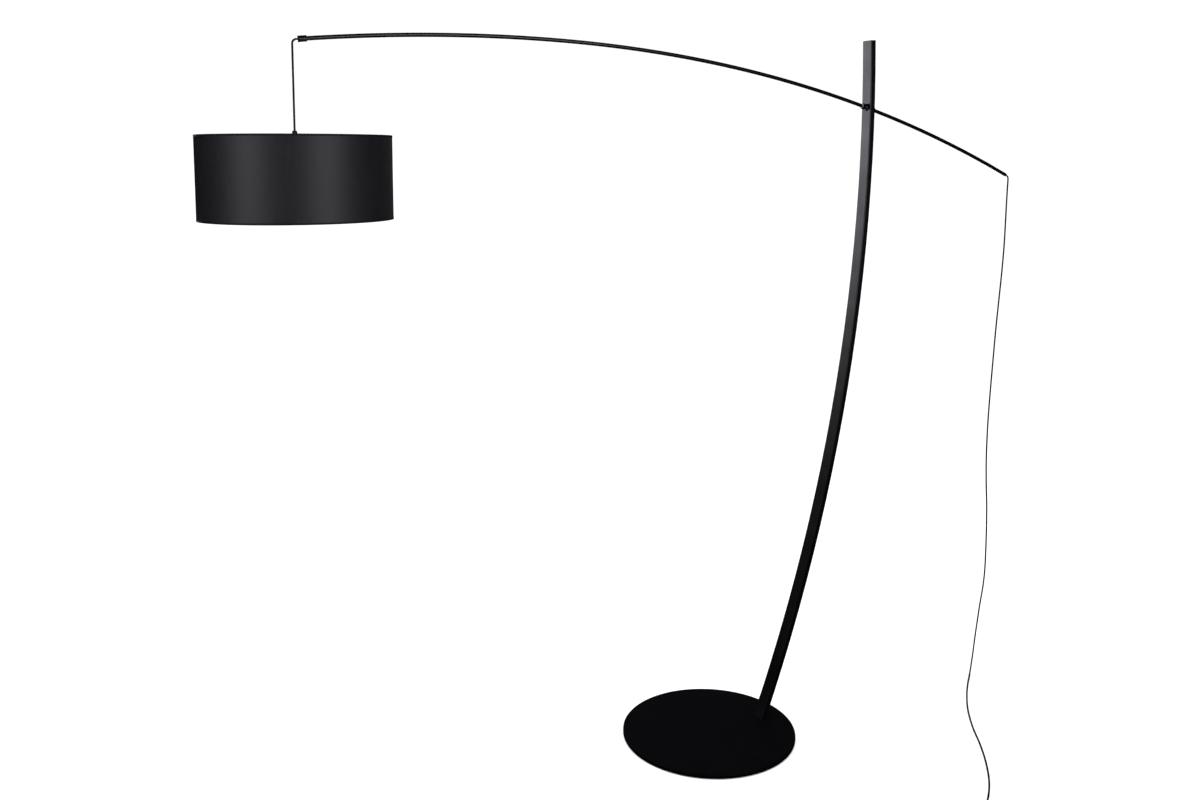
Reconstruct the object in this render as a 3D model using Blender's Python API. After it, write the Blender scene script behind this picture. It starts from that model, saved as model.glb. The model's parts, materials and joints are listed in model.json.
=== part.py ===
"""An arc floor lamp: a steel disc base, a bowed flat post, and a long thin arm that slides through
a clamp in the post. A drum shade hangs on its flex from the arm's tip, and the mains cord drops
from the arm's tail to the floor, where a foot switch, a tied coil and the plug lie.

Metres, +Z up. The origin is the centre of the base's underside. The post and the arm lie in the
XZ plane, with the shade towards -X and the tail towards +X.
"""

import math

import bmesh
import bpy
from mathutils import Matrix, Vector

# Clearance between pieces that touch, and between a shaft and what it turns or slides in.
GAP = 0.0003
RUNNING_GAP = 0.0003

# Base: a steel disc on a thin felt pad.
BASE_RADIUS = 0.250
PLATE_THICKNESS = 0.010
PLATE_EDGE = 0.0012
PAD_INSET = 0.008
PAD_THICKNESS = 0.002

# Post: a flat rectangular tube, bent on its thin side to one radius.
POST_WIDTH = 0.040
POST_DEPTH = 0.017
POST_WALL = 0.0018
POST_CORNER = 0.0020
POST_RADIUS = 5.034
POST_LEAN = math.radians(21.4)
POST_LENGTH = 2.0425
FOOT_X = 0.1765
FOOT_BLOCK_LENGTH = 0.060
CAP_THICKNESS = 0.0012
CAP_PLUG_DEPTH = 0.012

# Two socket screws hold the foot block to the plate, along the post's lean.
FOOT_BOLT_SPACING = 0.022
BOLT_SHANK_RADIUS = 0.0029
BOLT_HEAD_RADIUS = 0.0050
BOLT_HEAD_HEIGHT = 0.0032
BOLT_GRIP_IN_BLOCK = 0.026
BOLT_SEAT_HEIGHT = 0.0058

# Arm: three bent tubes, joined end to end by inner sleeves.
CLAMP_DROP = 0.1947
ARM_SLOPE = math.radians(16.03)
ARM_RADIUS = 0.0053
ARM_WALL = 0.0012
ARM_BEND_RADIUS = 4.061
FRONT_BEND_RADIUS = 4.680
REAR_AHEAD = 0.285
REAR_BEHIND = 0.5795
MIDDLE_LENGTH = 0.674
FRONT_LENGTH = 0.7075
JOINT_SLEEVE_LENGTH = 0.060
JOINT_SLEEVE_WALL = 0.0008

# Clamp through the post.
LINER_WALL = 0.0006
SLEEVE_WALL = 0.0007
NUT_WALL = 0.0012
NUT_LENGTH = 0.0090
FLANGE_RADIUS = 0.0105
FLANGE_THICKNESS = 0.0030
REAR_FLANGE_RADIUS = 0.0095
REAR_FLANGE_THICKNESS = 0.0018
LOCK_NUT_LENGTH = 0.0050
NUT_STANDOFF = 0.0037
SLEEVE_FRONT_END = 0.0008
SLEEVE_REAR_END = 0.0010
NUT_START = POST_DEPTH / 2 + FLANGE_THICKNESS + NUT_STANDOFF
LOCK_NUT_START = POST_DEPTH / 2 + REAR_FLANGE_THICKNESS + NUT_STANDOFF
SLEEVE_AHEAD = NUT_START + NUT_LENGTH + SLEEVE_FRONT_END
SLEEVE_BEHIND = LOCK_NUT_START + LOCK_NUT_LENGTH + SLEEVE_REAR_END

# Tip cap and tail bung, where the flex leaves the arm.
TIP_CAP_RADIUS = 0.0075
TIP_CAP_LENGTH = 0.0216
TIP_CAP_SOCKET = 0.0156
TIP_SCREW_RADIUS = 0.00175
TAIL_BUNG_RIM = 0.0022
TAIL_BUNG_DEPTH = 0.012

# Flex: one size inside the arm, to the shade and to the plug.
CORD_RADIUS = 0.0025
CORD_CLEARANCE = 0.0004

# Pendant.
PENDANT_STUB = 0.002
PENDANT_HINGE_GAP = 0.0013
PENDANT_BEND_RADIUS = 0.0105
PENDANT_DROP = 0.2010
GRIP_RADIUS = 0.0065
GRIP_LENGTH = 0.013
HOLDER_CAP_LENGTH = 0.026
HOLDER_RADIUS = 0.0193
HOLDER_WALL = 0.0022
HOLDER_LENGTH = 0.050
SHADE_RING_RADIUS = 0.0260
SHADE_RING_LENGTH = 0.0060
CORE_LENGTH = 0.010
SCREW_SHELL_RADIUS = 0.0146
SCREW_SHELL_WALL = 0.0006
SCREW_SHELL_LENGTH = 0.026
BULB_RADIUS = 0.030
BULB_NECK_RADIUS = 0.0125
BULB_BASE_LENGTH = 0.024
BULB_GLASS_LENGTH = 0.078
BULB_GLASS_WALL = 0.0010
BULB_BASE_WALL = 0.0008

# Drum shade on a wire frame.
SHADE_RADIUS = 0.2245
SHADE_HEIGHT = 0.197
SHADE_WALL = 0.0012
SHADE_BELOW_GRIP = 0.011
WIRE_RADIUS = 0.0015
SPIDER_DROP = 0.038
SPIDER_WASHER_LIP = 0.0040
SPIDER_WASHER_THICKNESS = 0.0014
SPIDER_ARMS = 3

# Foot switch, coil and plug on the floor, in a frame of their own: the switch's centre is its
# origin, and its forward direction is turned LEAD_HEADING from +X.
LEAD_ORIGIN = (0.300, -0.666)
LEAD_HEADING = math.radians(174.0)
SWITCH_CENTRE = (0.0, 0.0)
SWITCH_LENGTH = 0.078
SWITCH_WIDTH = 0.034
SWITCH_LOWER_HEIGHT = 0.0100
SWITCH_UPPER_HEIGHT = 0.0095
SWITCH_WALL = 0.0020
SWITCH_CORNER = 0.006
SWITCH_CORD_HEIGHT = 0.0060
BUTTON_LENGTH = 0.028
BUTTON_WIDTH = 0.018
BUTTON_HEIGHT = 0.0080
BUTTON_RISE = 0.0045
COIL_CENTRE = (0.136, 0.018)
COIL_INNER_RADIUS = 0.0200
COIL_OUTER_RADIUS = 0.0360
COIL_HEIGHT = 0.0102
TIE_THICKNESS = 0.0008
TIE_WIDTH = 0.010
PLUG_PLACE = (0.236, -0.004)
PLUG_WIDTH = 0.0355
PLUG_HEIGHT = 0.0137
PLUG_LENGTH = 0.0360
PLUG_NECK_LENGTH = 0.024
PIN_RADIUS = 0.0020
PIN_LENGTH = 0.019
PIN_SPACING = 0.0186
PIN_SEAT = 0.004

# Centreline of the mains cord, from the arm's tail down to the floor: how far each point is beyond
# the cord's exit in X, its Y, and its height as a share of the exit's height.
TAIL_BEND = [
    (0.00000, 0.0, 0.00000),
    (0.00200, 0.0, -0.00090),
    (0.00390, 0.0, -0.00175),
    (0.00607, 0.0, -0.00304),
    (0.00788, 0.0, -0.00478),
    (0.00925, 0.0, -0.00691),
    (0.01010, 0.0, -0.00927),
    (0.01039, 0.0, -0.01178),
    (0.01040, 0.0, -0.01930),
    (0.01010, 0.0, -0.02830),
]
CORD_DROP = [
    (0.0093, 0.0, 0.972),
    (0.0080, 0.0, 0.944),
    (0.0065, 0.0, 0.900),
    (0.0045, 0.0, 0.860),
    (-0.0010, 0.0, 0.809),
    (-0.0095, 0.0, 0.750),
    (-0.0180, 0.0, 0.690),
    (-0.0250, 0.0, 0.627),
    (-0.0320, 0.0, 0.562),
    (-0.0370, 0.0, 0.495),
    (-0.0375, 0.0, 0.432),
    (-0.0340, 0.0, 0.383),
    (-0.0283, 0.0, 0.334),
    (-0.0255, 0.0, 0.267),
    (-0.0268, 0.0, 0.200),
    (-0.0330, -0.001, 0.168),
    (-0.0450, -0.003, 0.134),
    (-0.0560, -0.006, 0.102),
    (-0.0680, -0.010, 0.069),
    (-0.0820, -0.018, 0.040),
    (-0.1010, -0.031, 0.0170),
]
# Then over the floor to the foot switch, as (x, y, height).
FLOOR_RUN = [
    (0.9430, -0.052, 0.0086),
    (0.9080, -0.083, 0.0036),
    (0.8450, -0.146, 0.0029),
    (0.7800, -0.221, 0.0029),
    (0.7200, -0.305, 0.0029),
    (0.6680, -0.390, 0.0029),
    (0.6100, -0.474, 0.0029),
    (0.5450, -0.553, 0.0029),
    (0.4750, -0.618, 0.0029),
]

ROUND = 24
FINE_ROUND = 64
TUBE_ROUND = 12

STEEL_BLACK = ("black_powder_coat", (0.012, 0.012, 0.013), 0.55, 0.3)
GLOSS_BLACK = ("black_gloss_paint", (0.008, 0.008, 0.009), 0.25, 0.2)
BARE_STEEL = ("zinc_plated_steel", (0.55, 0.55, 0.54), 0.35, 1.0)
BRASS = ("brass", (0.72, 0.52, 0.24), 0.35, 1.0)
BLACK_PLASTIC = ("black_plastic", (0.015, 0.015, 0.016), 0.45, 0.0)
WHITE_PLASTIC = ("natural_nylon", (0.75, 0.74, 0.70), 0.5, 0.0)
CERAMIC = ("ceramic", (0.82, 0.80, 0.76), 0.4, 0.0)
FELT = ("black_felt", (0.02, 0.02, 0.02), 0.95, 0.0)
SHADE_FABRIC = ("charcoal_fabric", (0.035, 0.035, 0.038), 0.8, 0.0)
FLEX = ("black_flex", (0.012, 0.012, 0.012), 0.6, 0.0)
OPAL_GLASS = ("opal_glass", (0.9, 0.9, 0.88), 0.2, 0.0)

Y_AXIS = Vector((0.0, 1.0, 0.0))


# ---------------------------------------------------------------- workshop tools


def clear_scene():
    for old in list(bpy.data.objects):
        bpy.data.objects.remove(old, do_unlink=True)


def material_of(finish):
    name, colour, roughness, metallic = finish
    made = bpy.data.materials.get(name)
    if made is None:
        made = bpy.data.materials.new(name)
        made.use_nodes = True
        shader = made.node_tree.nodes["Principled BSDF"]
        shader.inputs["Base Color"].default_value = (*colour, 1.0)
        shader.inputs["Roughness"].default_value = roughness
        shader.inputs["Metallic"].default_value = metallic
    return made


def axis_at(name, point):
    """An empty on a joint's axis: the moving pieces are its children."""
    empty = bpy.data.objects.new(name, None)
    empty.location = point
    bpy.context.scene.collection.objects.link(empty)
    bpy.context.view_layer.update()
    return empty


def add_object(name, data, finish, where=None, parent=None):
    """A named piece from mesh or curve data, placed by the matrix where, in world space."""
    piece = bpy.data.objects.new(name, data)
    bpy.context.scene.collection.objects.link(piece)
    if finish is not None:
        data.materials.append(material_of(finish))
    place = where if where is not None else Matrix.Identity(4)
    if parent is not None:
        piece.parent = parent
        piece.matrix_basis = parent.matrix_world.inverted() @ place
    else:
        piece.matrix_basis = place
    return piece


def mesh_from(bm, name, smooth_angle=0.6):
    bmesh.ops.recalc_face_normals(bm, faces=bm.faces)
    mesh = bpy.data.meshes.new(name)
    bm.to_mesh(mesh)
    bm.free()
    mesh.shade_smooth()
    mesh.set_sharp_from_angle(angle=smooth_angle)
    return mesh


def turned_mesh(name, profile, segments=ROUND, outline=None):
    """A solid of revolution about Z. The profile is a closed outline of (radius, height) points.
    outline(radius, angle) can change the radius, for a hexagon or a knurl."""
    bm = bmesh.new()
    rings = []
    for radius, height in profile:
        if radius < 1e-9:
            rings.append([bm.verts.new((0.0, 0.0, height))])
            continue
        ring = []
        for i in range(segments):
            angle = 2 * math.pi * i / segments
            r = outline(radius, angle) if outline else radius
            ring.append(bm.verts.new((r * math.cos(angle), r * math.sin(angle), height)))
        rings.append(ring)
    for here, there in zip(rings, rings[1:] + rings[:1]):
        if len(here) == 1 and len(there) == 1:
            continue
        for i in range(segments):
            j = (i + 1) % segments
            if len(here) == 1:
                bm.faces.new((here[0], there[j], there[i]))
            elif len(there) == 1:
                bm.faces.new((here[i], here[j], there[0]))
            else:
                bm.faces.new((here[i], here[j], there[j], there[i]))
    return mesh_from(bm, name)


def swept_mesh(name, stations, outer, inner=None, level_start=None):
    """A section of (in-plane, sideways) points swept through stations of (point, tangent) in the
    XZ plane. With inner, it is a tube. level_start cuts the first end at that height."""
    bm = bmesh.new()

    def rings_of(section):
        rings = []
        for k, (point, tangent) in enumerate(stations):
            normal = tangent.cross(Y_AXIS)
            ring = []
            for u, v in section:
                corner = point + normal * u + Y_AXIS * v
                if k == 0 and level_start is not None:
                    corner = corner + tangent * ((level_start - corner.z) / tangent.z)
                ring.append(bm.verts.new(corner))
            rings.append(ring)
        return rings

    count = len(outer)
    shells = [rings_of(outer)]
    if inner is not None:
        shells.append(rings_of(inner))
    for rings in shells:
        for here, there in zip(rings, rings[1:]):
            for i in range(count):
                j = (i + 1) % count
                bm.faces.new((here[i], here[j], there[j], there[i]))
    for end in (0, -1):
        if inner is None:
            bm.faces.new(shells[0][end])
            continue
        out_ring, in_ring = shells[0][end], shells[1][end]
        for i in range(count):
            j = (i + 1) % count
            bm.faces.new((out_ring[i], out_ring[j], in_ring[j], in_ring[i]))
    return mesh_from(bm, name)


def circle_section(radius, segments=TUBE_ROUND):
    angles = [2 * math.pi * i / segments for i in range(segments)]
    return [(radius * math.cos(a), radius * math.sin(a)) for a in angles]


def rounded_rectangle(depth, width, corner, steps=2):
    """Points around a rectangle with round corners, centred on the origin."""
    points = []
    for quarter, (su, sv) in enumerate(((1, 1), (-1, 1), (-1, -1), (1, -1))):
        cu, cv = su * (depth / 2 - corner), sv * (width / 2 - corner)
        for k in range(steps + 1):
            angle = math.radians(90 * quarter + 90 * k / steps)
            points.append((cu + corner * math.cos(angle), cv + corner * math.sin(angle)))
    return points


def frame_along(point, direction):
    """A matrix whose Z runs along direction, with its origin at point."""
    return Matrix.Translation(point) @ direction.to_track_quat("Z", "Y").to_matrix().to_4x4()


def prism_mesh(name, outline, low, high, edge=0.0):
    """An upright prism over an outline of (x, y) points, with its top edge softened."""
    bm = bmesh.new()
    bottom = [bm.verts.new((x, y, low)) for x, y in outline]
    top = [bm.verts.new((x, y, high)) for x, y in outline]
    bm.faces.new(bottom)
    lid = bm.faces.new(top)
    for i in range(len(outline)):
        j = (i + 1) % len(outline)
        bm.faces.new((bottom[i], bottom[j], top[j], top[i]))
    if edge > 0:
        edges = list(lid.edges)
        bmesh.ops.bevel(bm, geom=edges, offset=edge, segments=2, profile=0.5, affect="EDGES")
    return mesh_from(bm, name)


def cut(piece, cutter_mesh, where, parent=None):
    """Takes the cutter's shape out of a piece."""
    cutter = add_object("cutter_" + cutter_mesh.name, cutter_mesh, None, where, parent)
    cutter.hide_render = True
    cutter.display_type = "WIRE"
    modifier = piece.modifiers.new("cut_" + cutter_mesh.name, "BOOLEAN")
    modifier.operation = "DIFFERENCE"
    modifier.solver = "EXACT"
    modifier.object = cutter
    return cutter


def rod_mesh(name, radius, low, high, segments=ROUND):
    return turned_mesh(name, [(0, low), (radius, low), (radius, high), (0, high)], segments)


def ring_profile(inner, outer, low, high, edge=0.0):
    """The outline of a ring, with its two outer corners chamfered by edge."""
    if edge <= 0:
        return [(inner, low), (outer, low), (outer, high), (inner, high)]
    return [
        (inner, low),
        (outer - edge, low),
        (outer, low + edge),
        (outer, high - edge),
        (outer - edge, high),
        (inner, high),
    ]


def smooth_route(points, steps=2):
    """Points on a centripetal Catmull-Rom curve through the given ones, so many to each span."""
    path = [Vector(p) for p in points]
    path = [path[0] * 2 - path[1], *path, path[-1] * 2 - path[-2]]
    dense = []
    for p0, p1, p2, p3 in zip(path, path[1:], path[2:], path[3:]):
        t1 = math.sqrt((p1 - p0).length)
        t2 = t1 + math.sqrt((p2 - p1).length)
        t3 = t2 + math.sqrt((p3 - p2).length)
        for k in range(steps):
            t = t1 + (t2 - t1) * k / steps
            a1 = p0 * ((t1 - t) / t1) + p1 * (t / t1)
            a2 = p1 * ((t2 - t) / (t2 - t1)) + p2 * ((t - t1) / (t2 - t1))
            a3 = p2 * ((t3 - t) / (t3 - t2)) + p3 * ((t - t2) / (t3 - t2))
            b1 = a1 * ((t2 - t) / t2) + a2 * (t / t2)
            b2 = a2 * ((t3 - t) / (t3 - t1)) + a3 * ((t - t1) / (t3 - t1))
            dense.append(b1 * ((t2 - t) / (t2 - t1)) + b2 * ((t - t1) / (t2 - t1)))
    dense.append(path[-2])
    return dense


def cord_tube(name, points, finish, parent=None, sides=2):
    """A round cord along points, as a curve with a bevel and filled ends."""
    curve = bpy.data.curves.new(name, "CURVE")
    curve.dimensions = "3D"
    curve.bevel_depth = CORD_RADIUS
    curve.bevel_resolution = sides
    curve.use_fill_caps = True
    spline = curve.splines.new("POLY")
    spline.points.add(len(points) - 1)
    origin = parent.matrix_world.translation if parent is not None else Vector((0, 0, 0))
    for handle, point in zip(spline.points, points):
        handle.co = (*(Vector(point) - origin), 1.0)
    where = Matrix.Translation(origin)
    return add_object(name, curve, finish, where, parent)


# ---------------------------------------------------------------- places worked out from the sizes

PLATE_BOTTOM = PAD_THICKNESS + GAP
PLATE_TOP = PLATE_BOTTOM + PLATE_THICKNESS
FOOT = Vector((FOOT_X, 0.0, PLATE_TOP + GAP))
FOOT_DIRECTION = Vector((math.sin(POST_LEAN), 0.0, math.cos(POST_LEAN)))
POST_CENTRE = FOOT - Vector((math.cos(POST_LEAN), 0.0, -math.sin(POST_LEAN))) * POST_RADIUS
POST_INNER_DEPTH = POST_DEPTH - 2 * POST_WALL
POST_INNER_WIDTH = POST_WIDTH - 2 * POST_WALL


def post_station(along):
    """(point, tangent) on the post's centreline, at a length along it from the foot."""
    angle = along / POST_RADIUS - POST_LEAN
    point = POST_CENTRE + Vector((math.cos(angle), 0.0, math.sin(angle))) * POST_RADIUS
    return point, Vector((-math.sin(angle), 0.0, math.cos(angle)))


CLAMP, POST_TANGENT = post_station(POST_LENGTH - CLAMP_DROP)
TO_TIP = Vector((-math.cos(ARM_SLOPE), 0.0, math.sin(ARM_SLOPE)))
ARM_CENTRE = CLAMP - Vector((math.sin(ARM_SLOPE), 0.0, math.cos(ARM_SLOPE))) * ARM_BEND_RADIUS
SEAM_REAR = REAR_AHEAD
SEAM_FRONT = REAR_AHEAD + MIDDLE_LENGTH
ARM_TIP = SEAM_FRONT + FRONT_LENGTH
ARM_TAIL = -REAR_BEHIND


def arm_station(along):
    """(point, tangent towards the tip) on the arm's centreline, at a length from the clamp."""
    near = min(along, SEAM_FRONT)
    angle = ARM_SLOPE - near / ARM_BEND_RADIUS
    outward = Vector((math.sin(angle), 0.0, math.cos(angle)))
    point = ARM_CENTRE + outward * ARM_BEND_RADIUS
    if along > SEAM_FRONT:
        front_centre = point - outward * FRONT_BEND_RADIUS
        angle -= (along - SEAM_FRONT) / FRONT_BEND_RADIUS
        point = front_centre + Vector((math.sin(angle), 0.0, math.cos(angle))) * FRONT_BEND_RADIUS
    return point, Vector((-math.cos(angle), 0.0, math.sin(angle)))


def arm_stations(start, end, pieces):
    return [arm_station(start + (end - start) * k / pieces) for k in range(pieces + 1)]


LINER_INNER = ARM_RADIUS + RUNNING_GAP
LINER_OUTER = LINER_INNER + LINER_WALL
SLEEVE_INNER = LINER_OUTER + GAP
SLEEVE_OUTER = SLEEVE_INNER + SLEEVE_WALL
NUT_INNER = SLEEVE_OUTER + GAP
NUT_OUTER = NUT_INNER + NUT_WALL
CORD_HOLE = CORD_RADIUS + CORD_CLEARANCE


# ---------------------------------------------------------------- base and post


def make_base():
    low, high, edge = PLATE_BOTTOM, PLATE_TOP, PLATE_EDGE
    profile = [
        (0, low),
        (BASE_RADIUS - edge, low),
        (BASE_RADIUS, low + edge),
        (BASE_RADIUS, high - edge),
        (BASE_RADIUS - edge * 0.3, high - edge * 0.3),
        (BASE_RADIUS - edge, high),
        (0, high),
    ]
    plate = add_object("base_plate", turned_mesh("base_plate", profile, FINE_ROUND), STEEL_BLACK)
    pad_radius = BASE_RADIUS - PAD_INSET
    add_object("base_pad", rod_mesh("base_pad", pad_radius, 0.0, PAD_THICKNESS, FINE_ROUND // 2), FELT)
    return plate


def make_post():
    pieces = 24
    stations = [post_station(POST_LENGTH * k / pieces) for k in range(pieces + 1)]
    outer = rounded_rectangle(POST_DEPTH, POST_WIDTH, POST_CORNER)
    inner_corner = max(POST_CORNER - POST_WALL, 0.0004)
    inner = rounded_rectangle(POST_INNER_DEPTH, POST_INNER_WIDTH, inner_corner)
    mesh = swept_mesh("post_tube", stations, outer, inner, level_start=FOOT.z)
    post = add_object("post_tube", mesh, STEEL_BLACK)
    reach = POST_DEPTH * 2
    hole = rod_mesh("post_clamp_hole", SLEEVE_OUTER + GAP, -reach, reach)
    cut(post, hole, frame_along(CLAMP, TO_TIP))

    top, tangent = post_station(POST_LENGTH + GAP)
    cap_top, _ = post_station(POST_LENGTH + GAP + CAP_THICKNESS)
    plug_low, plug_tangent = post_station(POST_LENGTH - CAP_PLUG_DEPTH)
    plug = rounded_rectangle(POST_INNER_DEPTH - 2 * GAP, POST_INNER_WIDTH - 2 * GAP, inner_corner)
    make_cap(plug_low, plug_tangent, top, cap_top, tangent, outer, plug)


def make_cap(plug_low, plug_tangent, top, cap_top, tangent, outer, plug):
    """The top cap: a lid of the post's own section over a plug that fits inside it."""
    bm = bmesh.new()
    levels = [
        (plug_low, plug_tangent, plug),
        (top, tangent, plug),
        (top, tangent, outer),
        (cap_top, tangent, outer),
    ]
    rings = []
    for point, direction, section in levels:
        normal = direction.cross(Y_AXIS)
        rings.append([bm.verts.new(point + normal * u + Y_AXIS * v) for u, v in section])
    for here, there in zip(rings, rings[1:]):
        for i in range(len(here)):
            j = (i + 1) % len(here)
            bm.faces.new((here[i], here[j], there[j], there[i]))
    bm.faces.new(rings[0])
    bm.faces.new(rings[-1])
    add_object("post_cap", mesh_from(bm, "post_cap"), BLACK_PLASTIC)


def make_foot(plate):
    """The block inside the post's foot, and the two screws that pull it down onto the plate."""
    inner_corner = max(POST_CORNER - POST_WALL, 0.0004)
    section = rounded_rectangle(POST_INNER_DEPTH - 2 * GAP, POST_INNER_WIDTH - 2 * GAP, inner_corner)
    stations = [post_station(FOOT_BLOCK_LENGTH * k / 2) for k in range(3)]
    mesh = swept_mesh("foot_block", stations, section, level_start=FOOT.z)
    block = add_object("foot_block", mesh, BARE_STEEL)

    seat = (BOLT_SEAT_HEIGHT - PLATE_THICKNESS) / math.cos(POST_LEAN)
    below = -PLATE_THICKNESS * 2
    shank_top = BOLT_GRIP_IN_BLOCK
    for side, label in ((-1, "left"), (1, "right")):
        origin = FOOT + Y_AXIS * (side * FOOT_BOLT_SPACING / 2)
        where = frame_along(origin, FOOT_DIRECTION)
        pocket = rod_mesh(f"bolt_pocket_{label}", BOLT_HEAD_RADIUS + 2 * GAP, below, seat)
        hole = rod_mesh(f"bolt_hole_{label}", BOLT_SHANK_RADIUS + GAP, below, shank_top + GAP)
        cut(plate, pocket, where)
        cut(plate, hole, where)
        cut(block, hole.copy(), where)
        head_top = seat - GAP
        head_low = head_top - BOLT_HEAD_HEIGHT
        socket_radius = BOLT_HEAD_RADIUS * 0.5
        socket_floor = head_low + BOLT_HEAD_HEIGHT * 0.55
        profile = [
            (0, socket_floor),
            (socket_radius, socket_floor),
            (socket_radius, head_low),
            (BOLT_HEAD_RADIUS, head_low),
            (BOLT_HEAD_RADIUS, head_top),
            (BOLT_SHANK_RADIUS, head_top),
            (BOLT_SHANK_RADIUS, shank_top),
            (0, shank_top),
        ]
        mesh = turned_mesh(f"foot_bolt_{label}", profile, 24)
        add_object(f"foot_bolt_{label}", mesh, BARE_STEEL, where)


# ---------------------------------------------------------------- clamp


def hexagon(radius, angle):
    """The distance from a hexagon's centre to its side, for a corner radius."""
    sixth = math.pi / 3
    return radius * math.cos(sixth / 2) / math.cos(angle % sixth - sixth / 2)


def knurl(radius, angle):
    """A radius that dips at every other point, for a grip on a ring's outside."""
    depth = 0.0004 if radius > NUT_INNER + NUT_WALL * 0.9 else 0.0
    return radius - depth * (round(angle / (2 * math.pi) * 48) % 2)


def flange(name, radius, thickness, side, finish):
    """A round plate flat against the post's face, with a slanted hole for the sleeve."""
    outward = POST_TANGENT.cross(Y_AXIS) * side
    middle = CLAMP + TO_TIP * ((POST_DEPTH / 2 + GAP + thickness / 2) / TO_TIP.dot(outward))
    low, high, edge = -thickness / 2, thickness / 2, thickness * 0.3
    profile = [(0, low), (radius, low), (radius, high - edge), (radius - edge, high), (0, high)]
    plate = add_object(name, turned_mesh(name, profile), finish, frame_along(middle, outward))
    hole = rod_mesh(name + "_hole", SLEEVE_OUTER + GAP, -radius * 2, radius * 2)
    cut(plate, hole, frame_along(CLAMP, TO_TIP))


def make_clamp():
    where = frame_along(CLAMP, TO_TIP)
    liner = ring_profile(LINER_INNER, LINER_OUTER, -SLEEVE_BEHIND, SLEEVE_AHEAD)
    add_object("clamp_liner", turned_mesh("clamp_liner", liner), WHITE_PLASTIC, where)
    sleeve = ring_profile(SLEEVE_INNER, SLEEVE_OUTER, -SLEEVE_BEHIND, SLEEVE_AHEAD)
    add_object("clamp_sleeve", turned_mesh("clamp_sleeve", sleeve), GLOSS_BLACK, where)
    flange("clamp_flange_front", FLANGE_RADIUS, FLANGE_THICKNESS, 1, GLOSS_BLACK)
    flange("clamp_flange_rear", REAR_FLANGE_RADIUS, REAR_FLANGE_THICKNESS, -1, GLOSS_BLACK)
    lock_outer = NUT_OUTER + 0.0008
    lock = ring_profile(NUT_INNER, lock_outer, -LOCK_NUT_START - LOCK_NUT_LENGTH, -LOCK_NUT_START)

    def hex_outside(radius, angle):
        return hexagon(radius, angle) if radius > NUT_INNER + GAP else radius

    lock_mesh = turned_mesh("clamp_lock_nut", lock, 24, hex_outside)
    add_object("clamp_lock_nut", lock_mesh, GLOSS_BLACK, where)

    turning = axis_at("clamp_nut_axis", CLAMP + TO_TIP * (NUT_START + NUT_LENGTH / 2))
    nut = ring_profile(NUT_INNER, NUT_OUTER, NUT_START, NUT_START + NUT_LENGTH, 0.0004)
    nut_mesh = turned_mesh("clamp_nut", nut, 48, knurl)
    add_object("clamp_nut", nut_mesh, GLOSS_BLACK, where, turning)


# ---------------------------------------------------------------- arm


def make_arm():
    sliding = axis_at("arm_slide_axis", ARM_CENTRE)
    outer = circle_section(ARM_RADIUS)
    inner = circle_section(ARM_RADIUS - ARM_WALL)
    tube_end = ARM_TIP - (TIP_CAP_LENGTH - TIP_CAP_SOCKET) - GAP
    sections = (
        ("arm_tube_rear", ARM_TAIL, SEAM_REAR - GAP / 2, 28),
        ("arm_tube_middle", SEAM_REAR + GAP / 2, SEAM_FRONT - GAP / 2, 9),
        ("arm_tube_front", SEAM_FRONT + GAP / 2, tube_end, 9),
    )
    to_pivot = Matrix.Translation(-ARM_CENTRE)
    at_pivot = Matrix.Translation(ARM_CENTRE)
    for name, start, end, pieces in sections:
        mesh = swept_mesh(name, arm_stations(start, end, pieces), outer, inner)
        mesh.transform(to_pivot)
        add_object(name, mesh, GLOSS_BLACK, at_pivot, sliding)

    sleeve_outer = ARM_RADIUS - ARM_WALL - GAP
    for seam, name in ((SEAM_REAR, "arm_joint_rear"), (SEAM_FRONT, "arm_joint_front")):
        half = JOINT_SLEEVE_LENGTH / 2
        stations = arm_stations(seam - half, seam + half, 2)
        sleeve = circle_section(sleeve_outer)
        bore = circle_section(sleeve_outer - JOINT_SLEEVE_WALL)
        mesh = swept_mesh(name, stations, sleeve, bore)
        mesh.transform(to_pivot)
        add_object(name, mesh, BARE_STEEL, at_pivot, sliding)

    make_tip_cap(sliding)
    make_tail_bung(sliding)
    cable_end = ARM_TIP - GAP
    cable = arm_stations(ARM_TAIL - TAIL_BUNG_RIM, cable_end, 40)
    cord_tube("arm_cable", [point for point, _ in cable], FLEX, sliding)
    return sliding


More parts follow.
